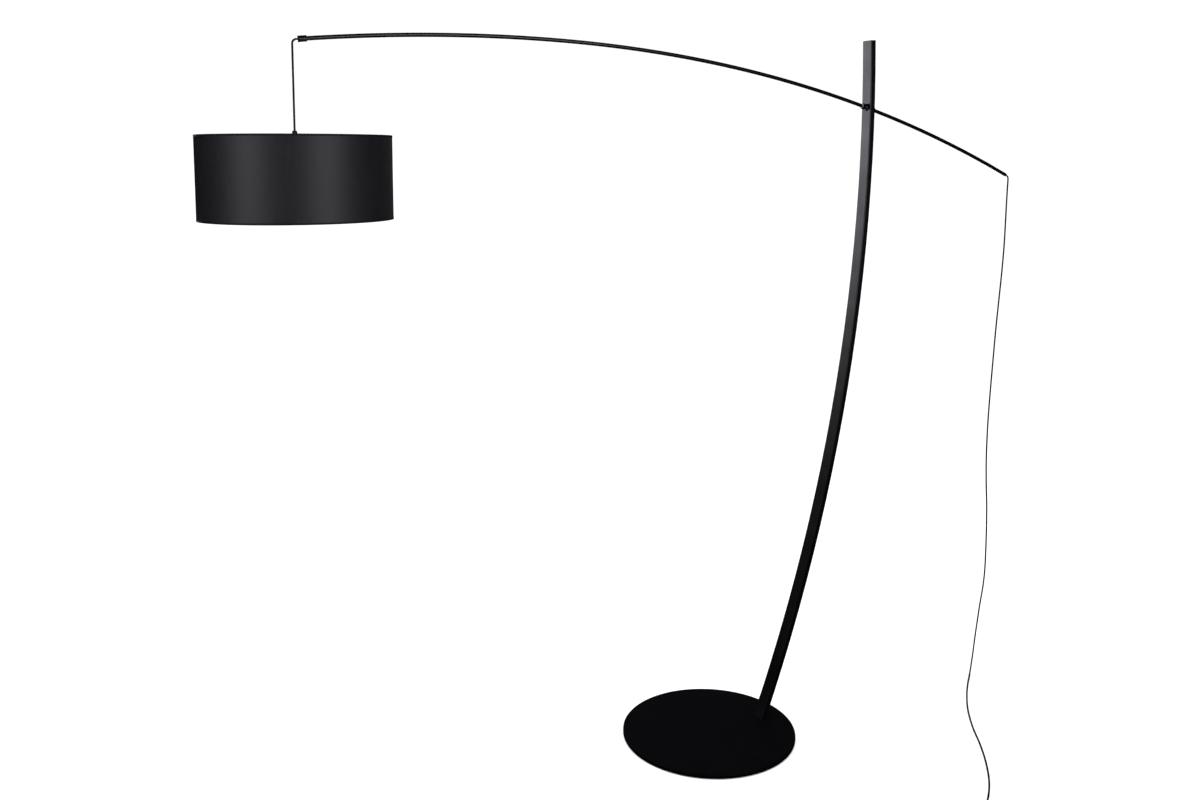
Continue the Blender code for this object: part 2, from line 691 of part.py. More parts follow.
def make_tip_cap(parent):
    end, direction = arm_station(ARM_TIP)
    where = frame_along(end, direction)
    back = -TIP_CAP_LENGTH
    wall_start = back + TIP_CAP_SOCKET
    socket = ARM_RADIUS + GAP
    edge = 0.0010
    profile = [
        (socket, back),
        (TIP_CAP_RADIUS - edge / 2, back),
        (TIP_CAP_RADIUS, back + edge / 2),
        (TIP_CAP_RADIUS, -edge),
        (TIP_CAP_RADIUS - edge, 0.0),
        (CORD_HOLE + edge / 2, 0.0),
        (CORD_HOLE, -edge / 2),
        (CORD_HOLE, wall_start),
        (socket, wall_start),
    ]
    cap = add_object("tip_cap", turned_mesh("tip_cap", profile), GLOSS_BLACK, where, parent)
    down = direction.cross(Y_AXIS)
    down = down if down.z < 0 else -down
    screw_at = frame_along(end - direction * (TIP_CAP_LENGTH - TIP_CAP_SOCKET) / 2, down)
    hole = rod_mesh("tip_screw_hole", TIP_SCREW_RADIUS + GAP, 0.0, TIP_CAP_RADIUS * 2, 20)
    cut(cap, hole, screw_at, parent)
    low, high = CORD_RADIUS + GAP, TIP_CAP_RADIUS + 0.0007
    slot = TIP_SCREW_RADIUS * 0.45
    screw = [
        (0, low),
        (TIP_SCREW_RADIUS, low),
        (TIP_SCREW_RADIUS, high - 0.0003),
        (TIP_SCREW_RADIUS - 0.0003, high),
        (slot, high),
        (slot, high - 0.0012),
        (0, high - 0.0012),
    ]
    add_object("tip_cord_screw", turned_mesh("tip_cord_screw", screw, 16), BARE_STEEL, screw_at, parent)


def make_tail_bung(parent):
    end, towards_tip = arm_station(ARM_TAIL)
    where = frame_along(end, -towards_tip)
    plug = ARM_RADIUS - ARM_WALL - GAP
    profile = [
        (CORD_HOLE, -TAIL_BUNG_DEPTH),
        (plug, -TAIL_BUNG_DEPTH),
        (plug, GAP),
        (ARM_RADIUS, GAP),
        (ARM_RADIUS, TAIL_BUNG_RIM - 0.0008),
        (ARM_RADIUS - 0.0010, TAIL_BUNG_RIM),
        (CORD_HOLE, TAIL_BUNG_RIM),
    ]
    add_object("tail_bung", turned_mesh("tail_bung", profile), BLACK_PLASTIC, where, parent)


# ---------------------------------------------------------------- pendant


def pendant_path():
    """The flex from the tip cap: a short stub, a bend down, and the top of the drop."""
    exit_point, direction = arm_station(ARM_TIP)
    start = exit_point + direction * GAP
    straight = start + direction * PENDANT_STUB
    dip = math.asin(-direction.z)
    turn = math.pi / 2 - dip
    steps = 8
    points = [start, straight]
    for k in range(1, steps + 1):
        angle = dip + turn * k / steps
        x = straight.x - PENDANT_BEND_RADIUS * (math.sin(angle) - math.sin(dip))
        z = straight.z - PENDANT_BEND_RADIUS * (math.cos(dip) - math.cos(angle))
        points.append(Vector((x, 0.0, z)))
    return points


BEND_PATH = pendant_path()
HANG = BEND_PATH[-1]
GRIP_TOP = HANG.z - PENDANT_DROP
SHADE_TOP = GRIP_TOP - SHADE_BELOW_GRIP
SHADE_BOTTOM = SHADE_TOP - SHADE_HEIGHT
CAP_TOP = GRIP_TOP - GRIP_LENGTH - GAP
HOLDER_TOP = CAP_TOP - HOLDER_CAP_LENGTH - GAP
HOLDER_BOTTOM = HOLDER_TOP - HOLDER_LENGTH
FRAME_TOP = SHADE_TOP - WIRE_RADIUS - SHADE_WALL
SPIDER_LEVEL = FRAME_TOP - SPIDER_DROP
RING_MAJOR = SHADE_RADIUS - SHADE_WALL - GAP - WIRE_RADIUS


def at_pendant(height):
    return Matrix.Translation((HANG.x, 0.0, height))


def make_pendant(arm_axis):
    sway = axis_at("pendant_sway_axis", BEND_PATH[0])
    sway.parent = arm_axis
    sway.matrix_parent_inverse = arm_axis.matrix_world.inverted()
    cord_tube("pendant_cord_bend", BEND_PATH, FLEX, sway)

    swing = axis_at("pendant_swing_axis", HANG)
    swing.parent = sway
    swing.matrix_parent_inverse = sway.matrix_world.inverted()
    top = HANG.z - PENDANT_HINGE_GAP
    length = top - GRIP_TOP + GRIP_LENGTH + HOLDER_WALL + 0.006
    drop = [Vector((HANG.x, 0.0, top - length * k / 8)) for k in range(9)]
    cord_tube("pendant_cord", drop, FLEX, swing)
    make_lampholder(swing)
    make_bulb(swing)
    make_shade(swing)


def make_lampholder(parent):
    hole = CORD_HOLE
    grip = [
        (hole, -GRIP_LENGTH),
        (GRIP_RADIUS, -GRIP_LENGTH),
        (GRIP_RADIUS, -0.004),
        (GRIP_RADIUS * 0.72, 0.0),
        (hole, 0.0),
    ]
    grip_mesh = turned_mesh("cord_grip", grip)
    add_object("cord_grip", grip_mesh, BLACK_PLASTIC, at_pendant(GRIP_TOP), parent)

    wall, length = HOLDER_WALL, HOLDER_CAP_LENGTH
    outside, inside = [], []
    for k in range(5):
        angle = math.pi / 2 * k / 4
        spread, fall = math.sin(angle), 1 - math.cos(angle)
        outer_radius = GRIP_RADIUS + (HOLDER_RADIUS - GRIP_RADIUS) * spread
        outside.append((outer_radius, -length * 0.55 * fall))
        inside.append((outer_radius - wall, -length * 0.55 * fall - wall))
    cap = [(hole, 0.0), *outside, (HOLDER_RADIUS, -length), (HOLDER_RADIUS - wall, -length)]
    cap += [*reversed(inside), (hole, -wall)]
    cap_mesh = turned_mesh("lampholder_cap", cap)
    add_object("lampholder_cap", cap_mesh, BLACK_PLASTIC, at_pendant(CAP_TOP), parent)

    skirt = ring_profile(HOLDER_RADIUS - wall, HOLDER_RADIUS, -HOLDER_LENGTH, 0.0)
    skirt_mesh = turned_mesh("lampholder_skirt", skirt)
    add_object("lampholder_skirt", skirt_mesh, BLACK_PLASTIC, at_pendant(HOLDER_TOP), parent)

    core_radius = HOLDER_RADIUS - wall - GAP
    core_mesh = rod_mesh("lampholder_core", core_radius, -CORE_LENGTH, -GAP)
    add_object("lampholder_core", core_mesh, CERAMIC, at_pendant(HOLDER_TOP), parent)

    shell_top = HOLDER_TOP - CORE_LENGTH - GAP
    shell_inner = SCREW_SHELL_RADIUS - SCREW_SHELL_WALL
    shell = ring_profile(shell_inner, SCREW_SHELL_RADIUS, -SCREW_SHELL_LENGTH, 0.0)
    add_object("screw_shell", turned_mesh("screw_shell", shell), BRASS, at_pendant(shell_top), parent)
    contact = rod_mesh("centre_contact", 0.0035, -0.0030, 0.0, 16)
    add_object("centre_contact", contact, BRASS, at_pendant(shell_top), parent)

    ring_inner = HOLDER_RADIUS + GAP
    upper_low = SPIDER_LEVEL + SPIDER_WASHER_THICKNESS / 2 + GAP
    lower_low = SPIDER_LEVEL - SPIDER_WASHER_THICKNESS / 2 - GAP - SHADE_RING_LENGTH
    for name, low in (("shade_ring_upper", upper_low), ("shade_ring_lower", lower_low)):
        ring = ring_profile(ring_inner, SHADE_RING_RADIUS, 0.0, SHADE_RING_LENGTH, 0.0012)
        add_object(name, turned_mesh(name, ring), BLACK_PLASTIC, at_pendant(low), parent)


def bulb_outline(inset):
    """The bulb's outline from its open neck down to its tip, drawn inset from its outside."""
    round_radius, neck = BULB_RADIUS - inset, BULB_NECK_RADIUS - inset
    belly = BULB_GLASS_LENGTH - BULB_RADIUS
    outline = [(neck, 0.0)]
    for k in range(1, 6):
        share = k / 6
        swell = (1 - math.cos(math.pi * share)) / 2
        outline.append((neck + (round_radius - neck) * swell, -belly * share))
    for k in range(7):
        angle = math.pi / 2 * k / 7
        outline.append((round_radius * math.cos(angle), -belly - round_radius * math.sin(angle)))
    outline.append((0, -belly - round_radius))
    return outline


def make_bulb(parent):
    top = HOLDER_TOP - CORE_LENGTH - GAP - 0.0030 - GAP
    tip = rod_mesh("bulb_contact", 0.0045, -0.0016, 0.0, 16)
    add_object("bulb_contact", tip, BRASS, at_pendant(top), parent)
    base_top = top - 0.0016 - GAP
    radius = SCREW_SHELL_RADIUS - SCREW_SHELL_WALL - 2 * GAP
    length, wall = BULB_BASE_LENGTH, BULB_BASE_WALL
    base = [
        (0, 0.0),
        (0.006, 0.0),
        (radius, -0.003),
        (radius, -length),
        (radius - wall, -length),
        (radius - wall, -0.003 - wall * 0.5),
        (0.006, -wall),
        (0, -wall),
    ]
    add_object("bulb_base", turned_mesh("bulb_base", base), BARE_STEEL, at_pendant(base_top), parent)
    glass_top = base_top - BULB_BASE_LENGTH - GAP
    glass = bulb_outline(0.0) + [*reversed(bulb_outline(BULB_GLASS_WALL))]
    glass_mesh = turned_mesh("bulb_glass", glass)
    add_object("bulb_glass", glass_mesh, OPAL_GLASS, at_pendant(glass_top), parent)


def torus_mesh(name, major, minor, segments=FINE_ROUND, sides=6):
    profile = [(major + u, v) for u, v in circle_section(minor, sides)]
    return turned_mesh(name, profile, segments)


def make_shade(parent):
    inner = SHADE_RADIUS - SHADE_WALL
    drum = ring_profile(inner, SHADE_RADIUS, -SHADE_HEIGHT, 0.0)
    drum_mesh = turned_mesh("shade_drum", drum, FINE_ROUND)
    add_object("shade_drum", drum_mesh, SHADE_FABRIC, at_pendant(SHADE_TOP), parent)

    low_ring = torus_mesh("shade_bottom_ring", RING_MAJOR, WIRE_RADIUS)
    low_level = SHADE_BOTTOM + WIRE_RADIUS + SHADE_WALL
    add_object("shade_bottom_ring", low_ring, STEEL_BLACK, at_pendant(low_level), parent)

    # The top ring, the spokes and the washer are welded into one frame.
    frame_mesh = torus_mesh("shade_frame", RING_MAJOR, WIRE_RADIUS)
    frame = add_object("shade_frame", frame_mesh, STEEL_BLACK, at_pendant(FRAME_TOP), parent)
    bore = HOLDER_RADIUS + GAP
    washer_outer = SHADE_RING_RADIUS + SPIDER_WASHER_LIP
    half = SPIDER_WASHER_THICKNESS / 2
    washer = turned_mesh("spider_washer", ring_profile(bore, washer_outer, -half, half))
    weld(frame, washer, at_pendant(SPIDER_LEVEL), parent)
    start = Vector((washer_outer - 0.0018, 0.0, 0.0))
    elbow = Vector((RING_MAJOR - 0.010, 0.0, SPIDER_DROP * 0.93))
    end = Vector((RING_MAJOR, 0.0, SPIDER_DROP))
    for k in range(SPIDER_ARMS):
        spoke = spoke_mesh(f"spider_arm_{k + 1}", start, elbow, end)
        turn = Matrix.Rotation(2 * math.pi * k / SPIDER_ARMS + math.radians(30), 4, "Z")
        weld(frame, spoke, at_pendant(SPIDER_LEVEL) @ turn, parent)


def spoke_mesh(name, start, elbow, end):
    first = (elbow - start).normalized()
    last = (end - elbow).normalized()
    middle = (first + last).normalized()
    stations = [(start, first), (elbow, middle), (end, last)]
    return swept_mesh(name, stations, circle_section(WIRE_RADIUS * 0.9, 8))


def weld(piece, other_mesh, where, parent):
    """Joins another shape to a piece, as one solid."""
    other = add_object("welded_" + other_mesh.name, other_mesh, None, where, parent)
    other.hide_render = True
    other.display_type = "WIRE"
    modifier = piece.modifiers.new("weld_" + other_mesh.name, "BOOLEAN")
    modifier.operation = "UNION"
    modifier.solver = "EXACT"
    modifier.object = other


# ---------------------------------------------------------------- mains cord, switch, coil and plug


def lead_matrix(place, height=0.0):
    """The frame of a piece that lies on the floor beside the lamp, at place in the lead's frame."""
    turn = Matrix.Rotation(LEAD_HEADING, 4, "Z")
    origin = Matrix.Translation((LEAD_ORIGIN[0], LEAD_ORIGIN[1], 0.0))
    return origin @ turn @ Matrix.Translation((place[0], place[1], height))


def switch_outline(length, width, corner):
    return [(v, u) for u, v in rounded_rectangle(width, length, corner, 3)]


def make_switch():
    where = lead_matrix(SWITCH_CENTRE)
    wall, lower_top = SWITCH_WALL, SWITCH_LOWER_HEIGHT
    upper_low = lower_top + GAP
    upper_top = upper_low + SWITCH_UPPER_HEIGHT
    outline = switch_outline(SWITCH_LENGTH, SWITCH_WIDTH, SWITCH_CORNER)
    inset = switch_outline(SWITCH_LENGTH - 2 * wall, SWITCH_WIDTH - 2 * wall, SWITCH_CORNER - wall)
    lower_mesh = prism_mesh("switch_lower", outline, 0.0, lower_top)
    lower = add_object("switch_lower", lower_mesh, BLACK_PLASTIC, where)
    cut(lower, prism_mesh("switch_lower_hollow", inset, wall, lower_top * 2), where)
    upper_mesh = prism_mesh("switch_upper", outline, upper_low, upper_top, 0.002)
    upper = add_object("switch_upper", upper_mesh, BLACK_PLASTIC, where)
    cut(upper, prism_mesh("switch_upper_hollow", inset, 0.0, upper_top - wall), where)
    window = switch_outline(BUTTON_LENGTH + 2 * GAP, BUTTON_WIDTH + 2 * GAP, 0.003 + GAP)
    cut(upper, prism_mesh("switch_window", window, upper_top - 2 * wall, upper_top * 2), where)
    along = Matrix.Translation((0, 0, SWITCH_CORD_HEIGHT)) @ Matrix.Rotation(math.pi / 2, 4, "Y")
    hole_radius = CORD_RADIUS + CORD_CLEARANCE
    hole = rod_mesh("switch_cord_hole", hole_radius, -SWITCH_LENGTH, SWITCH_LENGTH, 20)
    cut(lower, hole, where @ along)

    block_low, block_high = wall + GAP, lower_top - GAP
    block = switch_outline(0.024, 0.020, 0.001)
    block_mesh = prism_mesh("switch_contact_block", block, block_low, block_high)
    add_object("switch_contact_block", block_mesh, WHITE_PLASTIC, where)

    pressed = axis_at("switch_button_axis", where.translation)
    button_top = upper_top + BUTTON_RISE
    button = switch_outline(BUTTON_LENGTH, BUTTON_WIDTH, 0.003)
    button_mesh = prism_mesh("switch_button", button, button_top - BUTTON_HEIGHT, button_top, 0.0015)
    add_object("switch_button", button_mesh, BLACK_PLASTIC, where, pressed)


def make_coil():
    low = TIE_THICKNESS + GAP
    high = low + COIL_HEIGHT
    edge = CORD_RADIUS * 0.8
    profile = [
        (COIL_INNER_RADIUS + edge, low),
        (COIL_OUTER_RADIUS - edge, low),
        (COIL_OUTER_RADIUS, low + edge),
        (COIL_OUTER_RADIUS, high - edge),
        (COIL_OUTER_RADIUS - edge, high),
        (COIL_INNER_RADIUS + edge, high),
        (COIL_INNER_RADIUS, high - edge),
        (COIL_INNER_RADIUS, low + edge),
    ]
    where = lead_matrix(COIL_CENTRE)
    add_object("mains_cord_coil", turned_mesh("mains_cord_coil", profile, 32), FLEX, where)

    inner = math.sqrt(COIL_INNER_RADIUS**2 - (TIE_WIDTH / 2) ** 2) - 2 * GAP
    outer = COIL_OUTER_RADIUS + GAP
    band = [(inner - TIE_THICKNESS, 0.0), (outer + TIE_THICKNESS, high + GAP + TIE_THICKNESS)]
    hole = [(inner, TIE_THICKNESS), (outer, high + GAP)]
    bm = bmesh.new()
    rings = []
    for side in (-TIE_WIDTH / 2, TIE_WIDTH / 2):
        for low_corner, high_corner in (band, hole):
            (x0, z0), (x1, z1) = low_corner, high_corner
            corners = ((x0, z0), (x1, z0), (x1, z1), (x0, z1))
            rings.append([bm.verts.new((x, side, z)) for x, z in corners])
    near_out, near_in, far_out, far_in = rings
    for a, b in ((near_out, near_in), (far_out, far_in), (near_out, far_out), (near_in, far_in)):
        for i in range(4):
            j = (i + 1) % 4
            bm.faces.new((a[i], a[j], b[j], b[i]))
    turn = Matrix.Rotation(math.radians(60), 4, "Z")
    add_object("coil_tie", mesh_from(bm, "coil_tie"), BLACK_PLASTIC, where @ turn)


def make_plug():
    """A flat two-pin plug with a tapered neck, lying on its wide face."""
    where = lead_matrix(PLUG_PLACE, PLUG_HEIGHT / 2) @ Matrix.Rotation(-math.pi / 2, 4, "Z")
    stations = (
        (0.0, 0.0085, 0.0085),
        (PLUG_NECK_LENGTH * 0.6, 0.0100, 0.0095),
        (PLUG_NECK_LENGTH, 0.0180, 0.0118),
        (PLUG_NECK_LENGTH + PLUG_LENGTH * 0.3, 0.0300, PLUG_HEIGHT),
        (PLUG_NECK_LENGTH + PLUG_LENGTH * 0.75, PLUG_WIDTH, PLUG_HEIGHT),
        (PLUG_NECK_LENGTH + PLUG_LENGTH, PLUG_WIDTH, PLUG_HEIGHT),
    )
    bm = bmesh.new()
    rings = []
    for y, width, height in stations:
        section = rounded_rectangle(width, height, height * 0.42, 3)
        rings.append([bm.verts.new((x, y, z)) for x, z in section])
    for here, there in zip(rings, rings[1:]):
        for i in range(len(here)):
            j = (i + 1) % len(here)
            bm.faces.new((here[i], here[j], there[j], there[i]))
    bm.faces.new(rings[0])
    bm.faces.new(rings[-1])
    body = add_object("plug_body", mesh_from(bm, "plug_body"), BLACK_PLASTIC, where)
    face = PLUG_NECK_LENGTH + PLUG_LENGTH
    forward = Matrix.Rotation(-math.pi / 2, 4, "X")
    for side, label in ((-1, "left"), (1, "right")):
        at_pin = where @ Matrix.Translation((side * PIN_SPACING / 2, face, 0.0)) @ forward
        seat = rod_mesh(f"pin_seat_{label}", PIN_RADIUS + GAP, -PIN_SEAT - GAP, PIN_SEAT, 16)
        cut(body, seat, at_pin)
        tip = PIN_LENGTH - PIN_RADIUS * 0.6
        pin = [
            (0, -PIN_SEAT),
            (PIN_RADIUS, -PIN_SEAT),
            (PIN_RADIUS, tip),
            (PIN_RADIUS * 0.5, PIN_LENGTH),
            (0, PIN_LENGTH),
        ]
        pin_mesh = turned_mesh(f"plug_pin_{label}", pin, 16)
        add_object(f"plug_pin_{label}", pin_mesh, BRASS, at_pin)


def mains_route():
    """The mains cord's own points, from the tail bung to the foot switch."""
    tail, towards_tip = arm_station(ARM_TAIL)
    start = tail - towards_tip * (TAIL_BUNG_RIM + GAP)
    route = [start + Vector(offset) for offset in TAIL_BEND]
    route += [Vector((start.x + dx, y, start.z * share)) for dx, y, share in CORD_DROP]
    route += [Vector(point) for point in FLOOR_RUN]
    entry = SWITCH_CENTRE[0] - SWITCH_LENGTH / 2
    level = SWITCH_CORD_HEIGHT
    for back, height in ((0.052, 0.0030), (0.016, level - 0.0007), (GAP, level)):
        route.append(lead_matrix((entry - back, SWITCH_CENTRE[1]), height).translation)
    return route


def make_mains_cord():
    cord_tube("mains_cord_drop", smooth_route(mains_route()), FLEX)

    coil_low = TIE_THICKNESS + GAP + CORD_RADIUS
    lap = COIL_OUTER_RADIUS - CORD_RADIUS - GAP
    reach = math.sqrt(COIL_OUTER_RADIUS**2 - (lap - CORD_RADIUS) ** 2)
    side = COIL_CENTRE[1] - lap
    out = SWITCH_CENTRE[0] + SWITCH_LENGTH / 2
    level = SWITCH_CORD_HEIGHT
    link = [
        (out + GAP, SWITCH_CENTRE[1], level),
        (out + 0.012, SWITCH_CENTRE[1] - 0.0004, level - 0.0008),
        (out + 0.035, (SWITCH_CENTRE[1] + side) / 2, coil_low),
        (COIL_CENTRE[0] - reach - 0.012, side + 0.0006, coil_low),
        (COIL_CENTRE[0] - reach - GAP * 2, side, coil_low),
    ]
    points = [lead_matrix(p[:2], p[2]).translation for p in link]
    cord_tube("mains_cord_link", smooth_route(points, 3), FLEX)

    coil_high = coil_low + COIL_HEIGHT - 2 * CORD_RADIUS
    plug_level = PLUG_HEIGHT / 2
    tail_end = [
        (COIL_CENTRE[0] + reach + GAP * 2, side, coil_high),
        (COIL_CENTRE[0] + reach + 0.012, side + 0.0010, coil_high - 0.0030),
        (COIL_CENTRE[0] + reach + 0.034, side + 0.0050, CORD_RADIUS + 0.0005),
        (PLUG_PLACE[0] - 0.014, PLUG_PLACE[1] - 0.0008, plug_level - 0.0016),
        (PLUG_PLACE[0] - GAP, PLUG_PLACE[1], plug_level),
    ]
    points = [lead_matrix(p[:2], p[2]).translation for p in tail_end]
    cord_tube("mains_cord_end", smooth_route(points, 3), FLEX)


# ---------------------------------------------------------------- the lamp


def main():
    clear_scene()
    plate = make_base()
    make_post()
    make_foot(plate)
    make_clamp()
    arm_axis = make_arm()
    make_pendant(arm_axis)
    make_switch()
    make_coil()
    make_plug()
    make_mains_cord()


main()
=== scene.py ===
"""An arc floor lamp, finished: its paints, fabric, flex and small parts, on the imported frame.

Metres, +Z up. The post and the arm lie in the XZ plane, with the shade towards -X. Each operator
finishes one piece or one group of like pieces, and the last one sets the floor, light and camera.
"""

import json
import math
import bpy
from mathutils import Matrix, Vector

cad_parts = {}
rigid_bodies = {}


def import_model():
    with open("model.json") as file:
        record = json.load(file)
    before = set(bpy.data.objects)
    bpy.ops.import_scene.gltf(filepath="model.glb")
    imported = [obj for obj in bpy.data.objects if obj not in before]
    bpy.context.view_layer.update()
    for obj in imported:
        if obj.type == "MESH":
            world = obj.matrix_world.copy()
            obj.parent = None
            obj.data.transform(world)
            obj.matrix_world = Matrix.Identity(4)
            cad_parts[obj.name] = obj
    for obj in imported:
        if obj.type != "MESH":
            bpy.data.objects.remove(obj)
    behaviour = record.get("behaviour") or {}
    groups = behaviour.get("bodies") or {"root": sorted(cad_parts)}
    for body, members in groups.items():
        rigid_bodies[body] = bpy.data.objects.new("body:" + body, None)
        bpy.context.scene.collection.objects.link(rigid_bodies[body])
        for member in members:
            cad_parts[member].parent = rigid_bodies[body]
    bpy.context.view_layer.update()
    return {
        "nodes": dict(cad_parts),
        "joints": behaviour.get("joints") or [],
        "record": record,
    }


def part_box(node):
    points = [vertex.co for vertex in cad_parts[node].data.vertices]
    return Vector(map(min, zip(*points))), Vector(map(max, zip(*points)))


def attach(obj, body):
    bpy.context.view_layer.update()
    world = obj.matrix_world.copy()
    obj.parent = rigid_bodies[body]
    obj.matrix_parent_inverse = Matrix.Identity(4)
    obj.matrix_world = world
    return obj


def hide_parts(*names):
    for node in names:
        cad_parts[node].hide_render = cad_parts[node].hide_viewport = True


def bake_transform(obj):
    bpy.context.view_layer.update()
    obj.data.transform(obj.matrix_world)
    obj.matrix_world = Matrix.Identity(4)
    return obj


bl_info = {
    "name": "Arc floor lamp",
    "version": (1, 0, 0),
    "blender": (4, 5, 0),
    "location": "View3D > Sidebar > Lamp",
    "description": "Finishes an arc floor lamp with a sliding arm and a hanging drum shade",
    "category": "Object",
}

import bpy
from mathutils import Matrix, Vector

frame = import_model()
JOINTS = {joint["name"]: joint for joint in frame["joints"]}

STAND, ARM, NUT, BEND, PENDANT = "stand", "arm", "clamp_nut", "cord_bend", "pendant"
Y_AXIS = Vector((0.0, 1.0, 0.0))

# The arm: its bend's centre is the pivot it slides about, and it crosses the post at the clamp.
ARM_CENTRE = Vector(JOINTS["arm_slide"]["pos_m"])
ARM_BEND_RADIUS = 4.061
FRONT_BEND_RADIUS = 4.680
ARM_SLOPE = math.radians(16.03)
SEAM_REAR = 0.285
SEAM_FRONT = 0.959
ARM_TIP = 1.6665
ARM_TAIL = -0.5795
ARM_RADIUS = 0.0053
TUBE_GAP = 0.0003
TIP_CAP_FLOOR = 0.0060

# The base's edge and the ring inside it.
PLATE_EDGE = 0.0012
PLATE_FACE_INSET = 0.004

# The clamp through the post.
TO_TIP = Vector(JOINTS["clamp_nut_turn"]["axis"]).normalized()
NUT_MIDDLE = Vector(JOINTS["clamp_nut_turn"]["pos_m"])
NUT_LENGTH = 0.0090
NUT_START = 0.0152
CLAMP = NUT_MIDDLE - TO_TIP * (NUT_START + NUT_LENGTH / 2)
POST_TILT = 0.03153
POST_NORMAL = Vector((-math.cos(POST_TILT), 0.0, math.sin(POST_TILT)))
POST_DEPTH = 0.017
FLANGES = (  # frame node, side of the post, radius, thickness
    ("clamp_flange_front", 1, 0.0105, 0.0030),
    ("clamp_flange_rear", -1, 0.0095, 0.0018),
)
FLANGE_BORE = 0.0074
SLEEVE_BORE, SLEEVE_RADIUS = 0.0065, 0.0072
SLEEVE_BEHIND, SLEEVE_AHEAD = -0.0200, 0.0250
NUT_BORE, NUT_RADIUS = 0.0075, 0.0087
LOCK_NUT_RADIUS, LOCK_NUT_LENGTH, LOCK_NUT_MIDDLE = 0.0095, 0.005, -0.0165

# The flex: how it leaves the arm's tail, drops and crosses the floor, as the frame lays it.
CORD_RADIUS = 0.0025
TAIL_BUNG_RIM = 0.0022
TAIL_BEND = [
    (0.00000, 0.0, 0.00000), (0.00200, 0.0, -0.00090), (0.00390, 0.0, -0.00175),
    (0.00607, 0.0, -0.00304), (0.00788, 0.0, -0.00478), (0.00925, 0.0, -0.00691),
    (0.01010, 0.0, -0.00927), (0.01039, 0.0, -0.01178), (0.01040, 0.0, -0.01930),
    (0.01010, 0.0, -0.02830),
]
CORD_DROP = [
    (0.0093, 0.0, 0.972), (0.0080, 0.0, 0.944), (0.0065, 0.0, 0.900), (0.0045, 0.0, 0.860),
    (-0.0010, 0.0, 0.809), (-0.0095, 0.0, 0.750), (-0.0180, 0.0, 0.690), (-0.0250, 0.0, 0.627),
    (-0.0320, 0.0, 0.562), (-0.0370, 0.0, 0.495), (-0.0375, 0.0, 0.432), (-0.0340, 0.0, 0.383),
    (-0.0283, 0.0, 0.334), (-0.0255, 0.0, 0.267), (-0.0268, 0.0, 0.200), (-0.0330, -0.001, 0.168),
    (-0.0450, -0.003, 0.134), (-0.0560, -0.006, 0.102), (-0.0680, -0.010, 0.069),
    (-0.0820, -0.018, 0.040), (-0.1010, -0.031, 0.0170),
]
FLOOR_RUN = [
    (0.9430, -0.052, 0.0086), (0.9080, -0.083, 0.0036), (0.8450, -0.146, 0.0029),
    (0.7800, -0.221, 0.0029), (0.7200, -0.305, 0.0029), (0.6680, -0.390, 0.0029),
    (0.6100, -0.474, 0.0029), (0.5450, -0.553, 0.0029), (0.4750, -0.618, 0.0029),
]
LEAD_ORIGIN = (0.300, -0.666)
LEAD_HEADING = math.radians(174.0)
SWITCH_LENGTH = 0.078
SWITCH_CORD_HEIGHT = 0.0060
COIL_CENTRE = (0.136, 0.018)
COIL_MIDDLE_RADIUS = 0.0280
COIL_PITCH = 0.0052
COIL_LOW = 0.0036
COIL_HIGH = 0.0088
PLUG_PLACE = (0.236, -0.004)
PLUG_MIDDLE_HEIGHT = 0.00685
SWITCH_RELIEF = (0.024, 0.0040)
PLUG_RELIEF = (0.021, 0.0043)

# The pendant hangs below the arm's tip.
FLEX_START = Vector(JOINTS["pendant_sway"]["pos_m"])
HANG = Vector(JOINTS["pendant_swing"]["pos_m"])
FLEX_BEND_RADIUS = 0.0105
FLEX_STUB = 0.002
FLEX_HOLE = 0.0029
SHADE_LOW, SHADE_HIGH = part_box("shade_drum")
SHADE_RADIUS = 0.2245
SHADE_WALL = 0.0012
FRAME_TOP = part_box("shade_frame")[1].z
RING_MAJOR = 0.2215
WIRE_RADIUS = 0.0015
SPIDER_DROP = 0.038
RING_NUT_BORE = 0.0196


# ---------------- settings


def number(name, description, default, **settings):
    return bpy.props.FloatProperty(name=name, description=description, default=default, **settings)


def metres(name, description, default):
    return number(name, description, default, min=0.0, max=10.0, unit="LENGTH", precision=5)


def facets(description, default, low):
    return bpy.props.IntProperty(name="Sides", description=description, default=default, min=low)


def colour(name, description, default):
    return bpy.props.FloatVectorProperty(
        name=name, description=description, default=default, min=0.0, max=1.0, subtype="COLOR"
    )


class LampPaint(bpy.types.PropertyGroup):
    coat: colour("Powder coat", "Colour of the base's powder coat", (0.0006, 0.0006, 0.0008))
    coat_fleck: colour("Coat fleck", "Colour of the coat's high spots", (0.006, 0.006, 0.007))
    coat_grain: metres("Coat grain", "Size of the powder coat's texture", 0.0011)
    post: colour("Post paint", "Colour of the post's satin paint", (0.0006, 0.0006, 0.0009))
    gloss: colour("Arm paint", "Colour of the arm's gloss paint", (0.0020, 0.0020, 0.0022))
    gloss_roughness: number(
        "Arm roughness", "Roughness of the arm's paint", 0.32, min=0.0, max=1.0, subtype="FACTOR"
    )


class LampShade(bpy.types.PropertyGroup):
    fabric: colour("Fabric", "Colour of the shade's fabric", (0.0014, 0.0014, 0.0024))
    thread: colour("Thread", "Colour of the lighter threads", (0.0140, 0.0140, 0.0185))
    thread_pitch: metres("Thread pitch", "Distance between the fabric's threads", 0.00055)
    hem_width: metres("Hem width", "Width of the tape along the shade's two edges", 0.0042)
    hem_proud: metres("Hem thickness", "How far the tape stands out from the fabric", 0.0005)
    lining: colour("Lining", "Colour of the stiff lining inside the shade", (0.62, 0.61, 0.58))
    sides: facets("Facets round the shade", 192, 48)


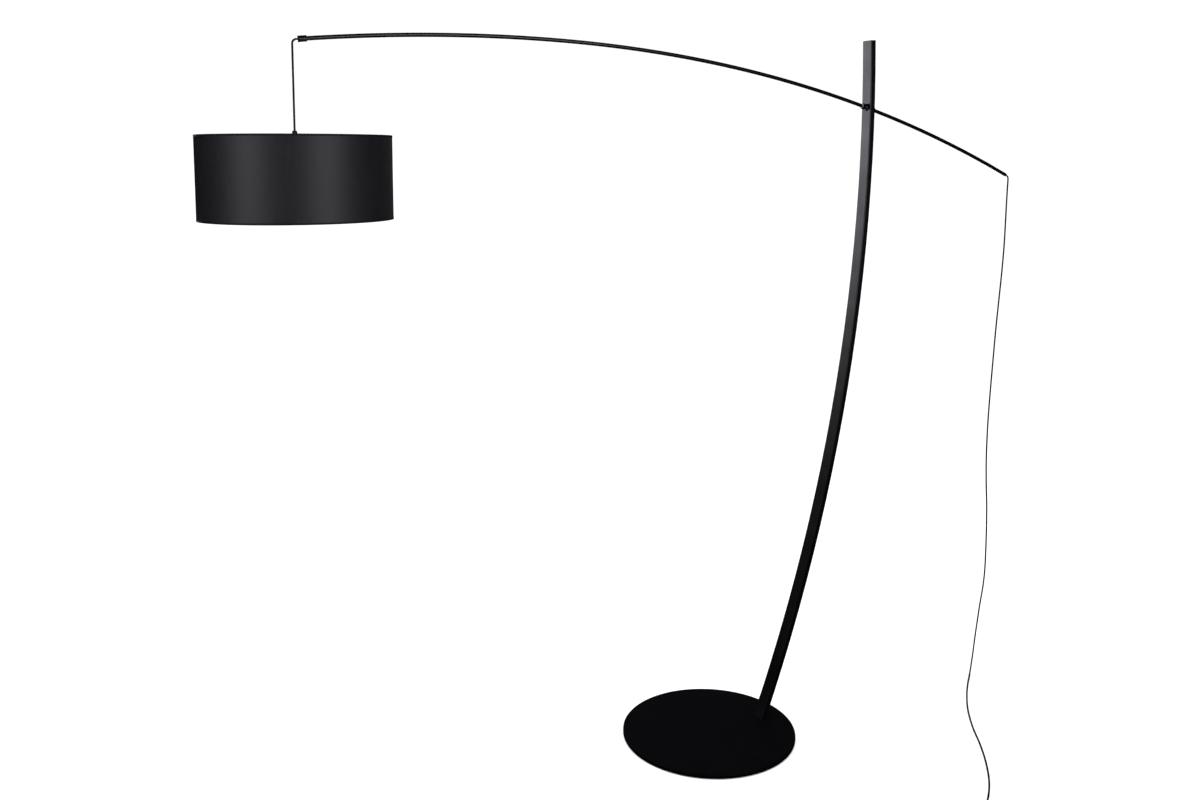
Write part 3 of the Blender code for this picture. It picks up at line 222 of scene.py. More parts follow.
class LampFlex(bpy.types.PropertyGroup):
    flex: colour("Flex", "Colour of the flex", (0.0030, 0.0030, 0.0033))
    plastic: colour("Plastic", "Colour of the moulded plastic", (0.010, 0.010, 0.0105))
    sides: facets("Facets round the flex", 14, 8)


class LampStage(bpy.types.PropertyGroup):
    camera_place: bpy.props.FloatVectorProperty(
        name="Camera place", description="Where the camera stands", unit="LENGTH",
        default=(-1.617, -2.716, 1.680),
    )
    camera_tilt: number(
        "Camera tilt", "Camera's tilt from straight down", math.radians(84), subtype="ANGLE"
    )
    camera_turn: number("Camera turn", "Camera's turn about Z", math.radians(-25), subtype="ANGLE")
    camera_lens: number("Lens", "Focal length in millimetres", 33.889)
    camera_shift: number("Shift", "Vertical lens shift", -0.1052)
    floor: colour("Floor", "Colour of the floor", (0.90, 0.90, 0.90))
    overhead: number("Overhead", "Overhead light in watts per m2", 4.2)
    left: number("Left", "Left softbox in watts", 27.0)
    right: number("Right", "Right softbox in watts", 46.0)
    back: number("Back", "Softbox behind the lamp in watts", 34.0)
    glow: number("Glow", "Dim light that the base mirrors, in watts", 3.2)


# ---------------- workshop tools


def only(piece):
    """Makes this the one selected and active object."""
    bpy.ops.object.select_all(action="DESELECT")
    piece.hide_set(False)
    piece.select_set(True)
    bpy.context.view_layer.objects.active = piece


def fresh(adder, name, **settings):
    """Adds a primitive with nothing else selected, and names it."""
    bpy.ops.object.select_all(action="DESELECT")
    adder(**settings)
    piece = bpy.context.object
    piece.name = piece.data.name = name
    return piece


def pick(piece, faces=None, edges=None):
    """Selects the faces or edges that pass a test on the mesh, and nothing else, then edits."""
    only(piece)
    bpy.ops.object.mode_set(mode="EDIT")
    bpy.ops.mesh.select_mode(type="FACE" if faces else "EDGE")
    bpy.ops.mesh.select_all(action="DESELECT")
    bpy.ops.object.mode_set(mode="OBJECT")
    mesh = piece.data
    if faces:
        for face in mesh.polygons:
            face.select = faces(face)
    else:
        for edge in mesh.edges:
            a, b = (mesh.vertices[i].co for i in edge.vertices)
            edge.select = edges(a, b)
    bpy.ops.object.mode_set(mode="EDIT")


def done():
    bpy.ops.object.mode_set(mode="OBJECT")


def edit_all(piece):
    """Starts editing with the whole mesh selected."""
    only(piece)
    bpy.ops.object.mode_set(mode="EDIT")
    bpy.ops.mesh.select_all(action="SELECT")


def smooth(piece, angle=35.0):
    only(piece)
    bpy.ops.object.shade_smooth_by_angle(angle=math.radians(angle))


def settle(piece, where=None):
    """Puts the piece's place into its mesh, so that the object stays at the origin."""
    only(piece)
    bpy.ops.object.transform_apply(location=True, rotation=True, scale=True)
    if where is not None:
        piece.data.transform(where)
        piece.data.update()
    return piece


def apply_all(piece):
    only(piece)
    for modifier in list(piece.modifiers):
        bpy.ops.object.modifier_apply(modifier=modifier.name)


def along(point, direction):
    """A place whose Z runs along direction."""
    turn = direction.to_track_quat("Z", "Y").to_matrix().to_4x4()
    return Matrix.Translation(point) @ turn


def turned(name, profile, segments=64, where=None, angle=35.0):
    """Spins a closed outline of (radius, height) points round Z, as on a lathe."""
    open_ended = profile[0][0] < 1e-9 and profile[-1][0] < 1e-9
    piece = fresh(bpy.ops.mesh.primitive_circle_add, name, vertices=len(profile), radius=1.0)
    for vertex, (radius, height) in zip(piece.data.vertices, profile):
        vertex.co = (radius, 0.0, height)
    if open_ended:
        pick(piece, edges=lambda a, b: a.x < 1e-9 and b.x < 1e-9)
        bpy.ops.mesh.delete(type="EDGE")
        done()
    edit_all(piece)
    bpy.ops.mesh.spin(steps=segments, angle=2 * math.pi, center=(0, 0, 0), axis=(0, 0, 1))
    bpy.ops.mesh.select_all(action="SELECT")
    bpy.ops.mesh.remove_doubles(threshold=1e-6)
    bpy.ops.mesh.dissolve_degenerate(threshold=1e-7)
    bpy.ops.mesh.select_all(action="SELECT")
    bpy.ops.mesh.normals_make_consistent(inside=False)
    done()
    smooth(piece, angle)
    return settle(piece, where)


def wire(name, points, radius, sides):
    """A round bar or flex along points, as a closed mesh tube."""
    curve = bpy.data.curves.new(name, "CURVE")
    curve.dimensions = "3D"
    curve.bevel_depth = radius
    curve.bevel_resolution = (sides - 4) // 2
    curve.use_fill_caps = True
    spline = curve.splines.new("POLY")
    spline.points.add(len(points) - 1)
    for handle, point in zip(spline.points, points):
        handle.co = (*point, 1.0)
    piece = bpy.data.objects.new(name, curve)
    bpy.context.scene.collection.objects.link(piece)
    only(piece)
    bpy.ops.object.convert(target="MESH")
    piece = bpy.context.object
    edit_all(piece)
    bpy.ops.mesh.remove_doubles(threshold=1e-6)
    bpy.ops.mesh.normals_make_consistent(inside=False)
    done()
    smooth(piece, 50.0)
    return piece


def joined(name, pieces):
    """Makes one object of several."""
    bpy.ops.object.select_all(action="DESELECT")
    for piece in pieces:
        piece.select_set(True)
    bpy.context.view_layer.objects.active = pieces[0]
    bpy.ops.object.join()
    piece = bpy.context.object
    piece.name = piece.data.name = name
    return piece


def knurl(piece, rim, land, depth):
    """Cuts the grip into the upright faces that lie beyond a radius."""
    pick(piece, faces=lambda f: math.hypot(*f.center.xy) > rim and abs(f.normal.z) < 0.1)
    bpy.ops.mesh.inset(thickness=land, use_individual=True)
    bpy.ops.transform.shrink_fatten(value=-depth)
    done()
    smooth(piece, 30.0)


def cut_slits(piece, size, height, angles):
    """Cuts a screw head's slits, each a bar of one size at its own angle."""
    slits = []
    for angle in angles:
        slit = fresh(
            bpy.ops.mesh.primitive_cube_add, "slit", size=1.0,
            location=(0, 0, height), rotation=(0, 0, angle),
        )
        slit.scale = size
        cutter = piece.modifiers.new("slit", "BOOLEAN")
        cutter.object, cutter.solver = slit, "EXACT"
        slits.append(slit)
    apply_all(piece)
    for slit in slits:
        bpy.data.objects.remove(slit)
    smooth(piece, 30.0)


def finish(piece, body, slot, stands_for=(), material=None):
    """Gives a piece its material and the body it moves with, and hides the frame's nodes that it
    stands for.
    """
    piece.data.materials.clear()
    piece.data.materials.append(material or slot_materials(bpy.context.scene)[slot])
    if body is not None:
        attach(piece, body)
    if stands_for:
        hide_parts(*stands_for)
    return piece


def smooth_route(points, steps):
    """Points on a centripetal Catmull-Rom curve through the given ones, so many to each span."""

    def between(a, b, start, end, t):
        return a * ((end - t) / (end - start)) + b * ((t - start) / (end - start))

    path = [Vector(p) for p in points]
    path = [path[0] * 2 - path[1], *path, path[-1] * 2 - path[-2]]
    dense = []
    for p0, p1, p2, p3 in zip(path, path[1:], path[2:], path[3:]):
        t1 = math.sqrt((p1 - p0).length)
        t2 = t1 + math.sqrt((p2 - p1).length)
        t3 = t2 + math.sqrt((p3 - p2).length)
        for k in range(steps):
            t = t1 + (t2 - t1) * k / steps
            middle = between(p1, p2, t1, t2, t)
            before = between(between(p0, p1, 0.0, t1, t), middle, 0.0, t2, t)
            after = between(middle, between(p2, p3, t2, t3, t), t1, t3, t)
            dense.append(between(before, after, t1, t2, t))
    dense.append(path[-2])
    return dense


def arm_station(reach):
    """(point, direction towards the tip) on the arm's centreline, at a length from the clamp."""
    angle = ARM_SLOPE - min(reach, SEAM_FRONT) / ARM_BEND_RADIUS
    outward = Vector((math.sin(angle), 0.0, math.cos(angle)))
    point = ARM_CENTRE + outward * ARM_BEND_RADIUS
    if reach > SEAM_FRONT:
        centre = point - outward * FRONT_BEND_RADIUS
        angle -= (reach - SEAM_FRONT) / FRONT_BEND_RADIUS
        point = centre + Vector((math.sin(angle), 0.0, math.cos(angle))) * FRONT_BEND_RADIUS
    return point, Vector((-math.cos(angle), 0.0, math.sin(angle)))


def hang_place(height):
    """A place on the pendant's upright axis."""
    return Matrix.Translation((HANG.x, 0.0, height))


def lead_place(x, y, height):
    """The place of something on the floor, in the frame of the switch, coil and plug."""
    origin = Matrix.Translation((LEAD_ORIGIN[0], LEAD_ORIGIN[1], 0.0))
    return origin @ Matrix.Rotation(LEAD_HEADING, 4, "Z") @ Matrix.Translation((x, y, height))


def lead_way(sign):
    """The direction of the lead on the floor, away from the switch towards the plug or back."""
    return Vector((math.cos(LEAD_HEADING), math.sin(LEAD_HEADING), 0.0)) * sign


# ---------------- materials


def new_group(name, inputs, outputs):
    group = bpy.data.node_groups.new(name, "ShaderNodeTree")
    for label, kind, default in inputs:
        kind = "NodeSocket" + kind
        socket = group.interface.new_socket(name=label, in_out="INPUT", socket_type=kind)
        socket.default_value = default
    for label, kind in outputs:
        kind = "NodeSocket" + kind
        group.interface.new_socket(name=label, in_out="OUTPUT", socket_type=kind)
    given = group.nodes.new("NodeGroupInput").outputs
    return group, given, group.nodes.new("NodeGroupOutput").inputs


class Wiring:
    """Adds nodes to a tree and links them in one line each."""

    def __init__(self, tree):
        self.tree = tree

    def link(self, value, socket):
        if isinstance(value, bpy.types.NodeSocket):
            self.tree.links.new(value, socket)
        else:
            socket.default_value = value

    def math(self, operation, *values):
        node = self.tree.nodes.new("ShaderNodeMath")
        node.operation = operation
        for value, socket in zip(values, node.inputs):
            self.link(value, socket)
        return node.outputs[0]

    def add(self, a, b):
        return self.math("ADD", a, b)

    def times(self, a, b):
        return self.math("MULTIPLY", a, b)

    def mix(self, factor, low, high):
        node = self.tree.nodes.new("ShaderNodeMix")
        node.data_type = "RGBA"
        self.link(factor, node.inputs["Factor"])
        self.link(low, node.inputs[6])
        self.link(high, node.inputs[7])
        return node.outputs[2]

    def step(self, value, low, high, out_low=0.0, out_high=1.0):
        node = self.tree.nodes.new("ShaderNodeMapRange")
        node.interpolation_type = "SMOOTHSTEP"
        for number, socket in zip((value, low, high, out_low, out_high), node.inputs):
            self.link(number, socket)
        return node.outputs[0]

    def noise(self, vector, scale, detail=3.0, roughness=0.5):
        node = self.tree.nodes.new("ShaderNodeTexNoise")
        self.link(vector, node.inputs["Vector"])
        self.link(scale, node.inputs["Scale"])
        node.inputs["Detail"].default_value = detail
        node.inputs["Roughness"].default_value = roughness
        return node.outputs["Fac"]

    def stretch(self, vector, scale):
        node = self.tree.nodes.new("ShaderNodeMapping")
        self.link(vector, node.inputs["Vector"])
        node.inputs["Scale"].default_value = scale
        return node.outputs["Vector"]

    def source(self, output):
        return self.tree.nodes.new("ShaderNodeTexCoord").outputs[output]


def grain_group():
    """Paint or moulded plastic close up: a fine skin, slow cloudy change and a few light flecks."""
    found = bpy.data.node_groups.get("fine_grain")
    if found:
        return found
    group, given, out = new_group(
        "fine_grain",
        [
            ("Colour", "Color", (0.01, 0.01, 0.01, 1.0)),
            ("Fleck", "Color", (0.03, 0.03, 0.03, 1.0)),
            ("Grain size", "Float", 0.001),
            ("Fleck share", "Float", 0.1),
            ("Roughness", "Float", 0.5),
            ("Spread", "Float", 0.1),
        ],
        [("Colour", "Color"), ("Roughness", "Float"), ("Height", "Float")],
    )
    w = Wiring(group)
    place = w.source("Object")
    scale = w.math("DIVIDE", 1.0, given["Grain size"])
    skin = w.noise(place, scale, 2.0, 0.6)
    fleck = w.noise(place, w.times(scale, 0.8), 1.0, 0.4)
    cloud = w.noise(place, 9.0, 2.0, 0.5)
    edge = w.math("SUBTRACT", 0.82, w.times(given["Fleck share"], 0.5))
    flecks = w.step(fleck, edge, w.add(edge, 0.1))
    w.link(w.mix(flecks, given["Colour"], given["Fleck"]), out["Colour"])
    change = w.add(w.math("SUBTRACT", skin, 0.5), w.math("SUBTRACT", cloud, 0.5))
    w.link(w.add(given["Roughness"], w.times(change, given["Spread"])), out["Roughness"])
    w.link(skin, out["Height"])
    return group


def weave_group():
    """Plain-woven cloth with slubs, on the piece's own UV map in metres."""
    found = bpy.data.node_groups.get("plain_weave")
    if found:
        return found
    group, given, out = new_group(
        "plain_weave",
        [
            ("Ground", "Color", (0.02, 0.02, 0.02, 1.0)),
            ("Thread", "Color", (0.05, 0.05, 0.05, 1.0)),
            ("Pitch", "Float", 0.0006),
            ("Roughness", "Float", 0.5),
        ],
        [("Colour", "Color"), ("Roughness", "Float"), ("Height", "Float")],
    )
    w = Wiring(group)
    place = w.source("UV")
    split = group.nodes.new("ShaderNodeSeparateXYZ")
    w.link(place, split.inputs[0])
    turn = w.math("DIVIDE", math.pi, given["Pitch"])
    across = w.math("SINE", w.times(split.outputs[0], turn))
    up = w.math("SINE", w.times(split.outputs[1], turn))
    crossing = w.add(0.5, w.times(0.5, w.times(across, up)))
    weft = w.noise(w.stretch(place, (30.0, 900.0, 1.0)), 1.0, 3.0, 0.6)
    warp = w.noise(w.stretch(place, (700.0, 14.0, 1.0)), 1.0, 2.0, 0.5)
    fine = w.noise(place, 420.0, 2.0, 0.6)
    slub = w.add(w.times(weft, 0.22), w.times(warp, 0.33))
    grain = w.add(slub, w.times(fine, 0.45))
    light = w.step(w.add(w.times(grain, 0.75), w.times(crossing, 0.25)), 0.35, 0.68)
    w.link(w.mix(light, given["Ground"], given["Thread"]), out["Colour"])
    uneven = w.times(w.math("SUBTRACT", grain, 0.5), 0.35)
    w.link(w.add(given["Roughness"], uneven), out["Roughness"])
    w.link(w.add(w.times(crossing, 0.6), w.times(grain, 0.8)), out["Height"])
    return group


def shader_material(name, group, values, relief, **constants):
    """A material whose Principled shader takes colour, roughness and relief from a shared group."""
    name += "_finish"
    found = bpy.data.materials.get(name)
    if found:
        return found
    made = bpy.data.materials.new(name)
    made.use_nodes = True
    tree = made.node_tree
    shader = tree.nodes["Principled BSDF"]
    source = tree.nodes.new("ShaderNodeGroup")
    source.node_tree = group
    for label, value in values.items():
        source.inputs[label].default_value = (*value, 1.0) if hasattr(value, "__len__") else value
    tree.links.new(source.outputs["Colour"], shader.inputs["Base Color"])
    tree.links.new(source.outputs["Roughness"], shader.inputs["Roughness"])
    if relief:
        bump = tree.nodes.new("ShaderNodeBump")
        bump.inputs["Strength"].default_value = 1.0
        bump.inputs["Distance"].default_value = relief
        tree.links.new(source.outputs["Height"], bump.inputs["Height"])
        tree.links.new(bump.outputs["Normal"], shader.inputs["Normal"])
    for label, value in constants.items():
        shader.inputs[label.replace("_", " ")].default_value = value
    return made


def grain_material(name, tint, fleck, *, size, flecks, roughness, spread, relief, **constants):
    values = {
        "Colour": tint,
        "Fleck": fleck,
        "Grain size": size,
        "Fleck share": flecks,
        "Roughness": roughness,
        "Spread": spread,
    }
    return shader_material(name, grain_group(), values, relief, **constants)


def weave_material(name, ground, thread, pitch, roughness, gloss):
    values = {"Ground": ground, "Thread": thread, "Pitch": pitch, "Roughness": roughness}
    return shader_material(name, weave_group(), values, 0.00006, Specular_IOR_Level=gloss)


def slot_materials(scene):
    """The material of each slot, made the first time and found again after that."""
    paint, shade, flex = scene.lamp_paint, scene.lamp_shade, scene.lamp_flex
    return {
        "powder_coat": grain_material(
            "powder_coat", paint.coat, paint.coat_fleck, size=paint.coat_grain, flecks=0.42,
            roughness=0.50, spread=0.25, relief=0.00008, Specular_IOR_Level=0.06,
        ),
        "post_paint": grain_material(
            "post_paint", paint.post, (0.02, 0.02, 0.021), size=0.0011, flecks=0.1,
            roughness=0.36, spread=0.14, relief=0.00001, Specular_IOR_Level=0.42,
        ),
        "gloss_paint": grain_material(
            "gloss_paint", paint.gloss, (0.01, 0.01, 0.011), size=0.0012, flecks=0.0,
            roughness=paint.gloss_roughness, spread=0.12, relief=0.0,
            Specular_IOR_Level=0.40, Coat_Weight=0.25, Coat_Roughness=0.12,
        ),
        "bare_steel": grain_material(
            "zinc_plate", (0.52, 0.52, 0.51), (0.66, 0.66, 0.65), size=0.0006, flecks=0.3,
            roughness=0.34, spread=0.25, relief=0.000008, Metallic=1.0,
        ),
        "brass": grain_material(
            "plain_brass", (0.71, 0.50, 0.22), (0.80, 0.62, 0.34), size=0.0007, flecks=0.2,
            roughness=0.32, spread=0.25, relief=0.000008, Metallic=1.0,
        ),
        "black_plastic": grain_material(
            "black_plastic", flex.plastic, (0.02, 0.02, 0.02), size=0.0005, flecks=0.2,
            roughness=0.46, spread=0.2, relief=0.00003, Specular_IOR_Level=0.4,
        ),
        "nylon": grain_material(
            "natural_nylon", (0.72, 0.71, 0.66), (0.8, 0.79, 0.75), size=0.0008, flecks=0.2,
            roughness=0.5, spread=0.1, relief=0.00002,
        ),
        "ceramic": grain_material(
            "porcelain", (0.80, 0.78, 0.73), (0.7, 0.68, 0.62), size=0.0012, flecks=0.15,
            roughness=0.38, spread=0.15, relief=0.00003,
        ),
        "felt": grain_material(
            "black_felt", (0.012, 0.012, 0.012), (0.05, 0.05, 0.05), size=0.0006, flecks=0.8,
            roughness=0.95, spread=0.1, relief=0.0004,
        ),
        "shade_fabric": weave_material(
            "shade_fabric", shade.fabric, shade.thread, shade.thread_pitch, 0.50, 0.50
        ),
        "flex": grain_material(
            "flex_skin", flex.flex, (0.01, 0.01, 0.01), size=0.0008, flecks=0.2,
            roughness=0.50, spread=0.15, relief=0.0, Specular_IOR_Level=0.30,
        ),
        "opal_glass": grain_material(
            "opal_glass", (0.86, 0.86, 0.84), (0.9, 0.9, 0.88), size=0.004, flecks=0.2,
            roughness=0.25, spread=0.08, relief=0.000005, Coat_Weight=0.4,
        ),
    }


def unroll(piece, centre):
    """A UV map in metres: round the piece's upright axis, and up."""
    layer = piece.data.uv_layers.get("UVMap") or piece.data.uv_layers.new(name="UVMap")
    piece.data.uv_layers.active = layer
    mesh = piece.data
    for face in mesh.polygons:
        middle = math.atan2(face.center.y - centre.y, face.center.x - centre.x)
        for loop in face.loop_indices:
            co = mesh.vertices[mesh.loops[loop].vertex_index].co
            angle = math.atan2(co.y - centre.y, co.x - centre.x)
            angle += round((middle - angle) / (2 * math.pi)) * 2 * math.pi
            layer.data[loop].uv = (angle * SHADE_RADIUS, co.z)


# ---------------- base, post and clamp


class LAMP_OT_base(bpy.types.Operator):
    """Finish the base: a powder-coated disc with softened rims, on its felt pad"""

    bl_idname = "lamp.base"
    bl_label = "Base"

    def execute(self, context):
        low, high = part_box("base_plate")
        radius = (high.x - low.x) / 2
        disc = fresh(
            bpy.ops.mesh.primitive_cylinder_add, "base_disc", vertices=192, radius=radius,
            depth=high.z - low.z, location=(0, 0, (low.z + high.z) / 2),
        )
        settle(disc)
        rim = radius * 0.99
        pick(disc, edges=lambda a, b: min(a.xy.length, b.xy.length) > rim and abs(a.z - b.z) < 1e-6)
        bpy.ops.mesh.bevel(offset=PLATE_EDGE, segments=4, affect="EDGES")
        done()
        pick(disc, faces=lambda f: f.normal.z > 0.99 and f.area > 0.1)
        bpy.ops.mesh.inset(thickness=PLATE_FACE_INSET)
        done()
        smooth(disc, 30.0)
        finish(disc, STAND, "powder_coat", ("base_plate",))
        return {"FINISHED"}


class LAMP_OT_clamp(bpy.types.Operator):
    """Finish the clamp: flanges flat on the post, sleeve, knurled nut and lock nut"""

    bl_idname = "lamp.clamp"
    bl_label = "Clamp"

    def execute(self, context):
        lean = abs(TO_TIP.dot(POST_NORMAL))
        for name, side, radius, thickness in FLANGES:
            distance = (POST_DEPTH / 2 + TUBE_GAP) / lean * side
            half = thickness / 2 / lean * side
            place = along(CLAMP + TO_TIP * (distance + half), POST_NORMAL * side)
            low, high, edge = -thickness / 2, thickness / 2, thickness * 0.3
            profile = [
                (FLANGE_BORE, low), (radius - 0.0003, low), (radius, low + 0.0003),
                (radius, high - edge), (radius - edge * 0.4, high - edge * 0.3),
                (radius - edge, high), (FLANGE_BORE, high),
            ]
            flange = turned(name + "_disc", profile, 72, place)
            finish(flange, STAND, "gloss_paint", (name,))

        middle = along(CLAMP, TO_TIP)
        lip = SLEEVE_RADIUS - 0.0002
        tube = [
            (SLEEVE_BORE, SLEEVE_BEHIND), (lip, SLEEVE_BEHIND),
            (SLEEVE_RADIUS, SLEEVE_BEHIND + 0.0002), (SLEEVE_RADIUS, SLEEVE_AHEAD - 0.0003),
            (lip, SLEEVE_AHEAD), (SLEEVE_BORE, SLEEVE_AHEAD),
        ]
        finish(turned("clamp_tube", tube, 64, middle), STAND, "gloss_paint", ("clamp_sleeve",))

        half = NUT_LENGTH / 2
        profile = [
            (NUT_BORE, -half), (NUT_RADIUS - 0.0005, -half), (NUT_RADIUS, -half + 0.0005),
            (NUT_RADIUS, half - 0.0012), (NUT_RADIUS - 0.0004, half - 0.0008),
            (NUT_RADIUS - 0.0004, half - 0.0004), (NUT_RADIUS - 0.0008, half), (NUT_BORE, half),
        ]
        nut = turned("knurled_nut", profile, 72)
        knurl(nut, NUT_RADIUS - 0.0002, 0.00014, 0.00022)
        settle(nut, along(NUT_MIDDLE, TO_TIP))
        finish(nut, NUT, "gloss_paint", ("clamp_nut",))

        lock = fresh(
            bpy.ops.mesh.primitive_cylinder_add, "hexagon_nut", vertices=6,
            radius=LOCK_NUT_RADIUS, depth=LOCK_NUT_LENGTH, location=(0, 0, LOCK_NUT_MIDDLE),
        )
        settle(lock)
        pick(lock, edges=lambda a, b: True)
        bpy.ops.mesh.bevel(offset=0.0004, segments=2, affect="EDGES")
        done()
        smooth(lock, 30.0)
        settle(lock, middle)
        finish(lock, STAND, "gloss_paint", ("clamp_lock_nut",))
        return {"FINISHED"}


# ---------------- arm


class LAMP_OT_arm(bpy.types.Operator):
    """Finish the arm's three bent tubes, its tip cap with the cord screw, and its tail bung"""

    bl_idname = "lamp.arm"
    bl_label = "Arm"

    def execute(self, context):
        half_gap = TUBE_GAP / 2
        tube_end = ARM_TIP - TIP_CAP_FLOOR - TUBE_GAP
        for name, node, start, end in (
            ("arm_rear", "arm_tube_rear", ARM_TAIL, SEAM_REAR - half_gap),
            ("arm_middle", "arm_tube_middle", SEAM_REAR + half_gap, SEAM_FRONT - half_gap),
            ("arm_front", "arm_tube_front", SEAM_FRONT + half_gap, tube_end),
        ):
            count = round((end - start) / 0.012)
            points = [arm_station(start + (end - start) * k / count)[0] for k in range(count + 1)]
            finish(wire(name, points, ARM_RADIUS, 28), ARM, "gloss_paint", (node,))

        end, direction = arm_station(ARM_TIP)
        socket, radius, edge, mouth = 0.0056, 0.0075, 0.0010, -0.0216
        profile = [
            (socket, mouth), (radius - 0.0005, mouth), (radius, mouth + 0.0005),
            (radius, -0.0050), (radius - 0.00025, -0.0047), (radius, -0.0044),
            (radius, -edge), (radius - edge * 0.3, -edge * 0.3), (radius - edge, 0.0),
            (FLEX_HOLE + 0.0005, 0.0), (FLEX_HOLE, -0.0005),
            (FLEX_HOLE, -TIP_CAP_FLOOR), (socket, -TIP_CAP_FLOOR),
        ]
        cap = turned("arm_tip_cap", profile, 64, along(end, direction))
        finish(cap, ARM, "gloss_paint", ("tip_cap",))

        down = direction.cross(Y_AXIS)
        down = down if down.z < 0 else -down
        head = fresh(
            bpy.ops.mesh.primitive_cylinder_add, "cord_screw", vertices=40, radius=0.00175,
            depth=0.0050, location=(0, 0, 0.0055),
        )
        cut_slits(head, (0.0050, 0.0006, 0.0018), 0.0081, (0.0,))
        settle(head, along(end - direction * 0.0030, down))
        finish(head, ARM, "bare_steel", ("tip_cord_screw",))

        tail, towards_tip = arm_station(ARM_TAIL)
        plug, rim = 0.0038, TAIL_BUNG_RIM
        profile = [
            (FLEX_HOLE, -0.012), (plug, -0.012), (plug, TUBE_GAP), (ARM_RADIUS, TUBE_GAP),
            (ARM_RADIUS, rim - 0.0010), (ARM_RADIUS - 0.0004, rim - 0.0003),
            (ARM_RADIUS - 0.0010, rim), (FLEX_HOLE + 0.0002, rim), (FLEX_HOLE, rim - 0.0002),
        ]
        bung = turned("arm_tail_bung", profile, 48, along(tail, -towards_tip))
        finish(bung, ARM, "black_plastic", ("tail_bung",))
        return {"FINISHED"}


# ---------------- pendant


def pendant_route():
    """The pendant flex's line: a stub out of the tip cap, a bend, then straight down."""
    direction = arm_station(ARM_TIP)[1]
    straight = FLEX_START + direction * FLEX_STUB
    dip = math.asin(-direction.z)
    points = [FLEX_START + direction * (FLEX_STUB * k / 3) for k in range(4)]
    for k in range(1, 13):
        angle = dip + (math.pi / 2 - dip) * k / 12
        x = straight.x - FLEX_BEND_RADIUS * (math.sin(angle) - math.sin(dip))
        z = straight.z - FLEX_BEND_RADIUS * (math.cos(dip) - math.cos(angle))
        points.append(Vector((x, 0.0, z)))
    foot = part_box("pendant_cord")[0].z
    points += [Vector((HANG.x, 0.0, HANG.z + (foot - HANG.z) * k / 40)) for k in range(1, 41)]
    return points


class LAMP_OT_pendant_flex(bpy.types.Operator):
    """Hang the flex from the arm's tip to the lampholder"""

    bl_idname = "lamp.pendant_flex"
    bl_label = "Pendant flex"

    def execute(self, context):
        flex = context.scene.lamp_flex
        route = pendant_route()
        piece = wire("pendant_flex", route, CORD_RADIUS, flex.sides)
        finish(piece, None, "flex", ("pendant_cord_bend", "pendant_cord"))
        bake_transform(piece)
        return {"FINISHED"}


class LAMP_OT_lampholder(bpy.types.Operator):
    """Finish the cord grip, the lampholder's cap and threaded skirt, and the two shade rings"""

    bl_idname = "lamp.lampholder"
    bl_label = "Lampholder"

    def execute(self, context):
        radius, edge = 0.0065, 0.0003
        grip = [
            (FLEX_HOLE, -0.0130), (radius - edge, -0.0130), (radius, -0.0127), (radius, -0.0050),
            (0.0061, -0.0044), (0.0061, -0.0038), (0.0056, -0.0016), (0.0049, -edge),
            (0.0044, 0.0), (0.0031, 0.0), (FLEX_HOLE, -edge),
        ]
        piece = turned("flex_grip", grip, 48, hang_place(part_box("cord_grip")[1].z))
        finish(piece, PENDANT, "black_plastic", ("cord_grip",))

        low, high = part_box("lampholder_cap")
        crown, radius, wall, length = radius, (high.x - low.x) / 2, 0.0022, high.z - low.z
        outside, inside = [], []
        for k in range(13):
            angle = math.pi / 2 * k / 12
            reach = crown + (radius - crown) * math.sin(angle)
            drop = -length * 0.55 * (1 - math.cos(angle))
            outside.append((reach, drop))
            inside.append((reach - wall, drop - wall))
        cap = [
            (FLEX_HOLE, 0.0), *outside, (radius, -length + 0.0050),
            (radius + 0.0002, -length + 0.0047), (radius + 0.0002, -length + 0.0003),
            (radius, -length), (radius - wall, -length), *reversed(inside), (FLEX_HOLE, -wall),
        ]
        piece = turned("holder_cap", cap, 64, hang_place(high.z))
        finish(piece, PENDANT, "black_plastic", ("lampholder_cap",))

        low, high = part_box("lampholder_skirt")
        length = high.z - low.z
        skirt = [(radius - wall, 0.0), (radius - 0.0003, 0.0), (radius, -0.0003)]
        thread_start, pitch, turns, root = -0.006, 0.0025, 15, radius - 0.0006
        for k in range(turns):
            start = thread_start - pitch * k
            skirt += [(radius, start), (root, start - pitch * 0.35), (root, start - pitch * 0.6)]
        skirt += [
            (radius, thread_start - pitch * turns), (radius, -length + 0.0005),
            (radius - 0.0005, -length), (radius - wall, -length),
        ]
        piece = turned("holder_skirt", skirt, 64, hang_place(high.z))
        finish(piece, PENDANT, "black_plastic", ("lampholder_skirt",))

        for place in ("upper", "lower"):
            node, edge = "shade_ring_" + place, 0.0012
            low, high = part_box(node)
            outer, depth = (high.x - low.x) / 2, high.z - low.z
            ring = [
                (RING_NUT_BORE, 0.0), (outer - edge, 0.0), (outer, edge), (outer, depth - edge),
                (outer - edge, depth), (RING_NUT_BORE, depth),
            ]
            piece = turned("ring_nut_" + place, ring, 60)
            knurl(piece, outer - 0.0003, 0.0004, 0.0005)
            settle(piece, hang_place(low.z))
            finish(piece, PENDANT, "black_plastic", (node,))
        return {"FINISHED"}


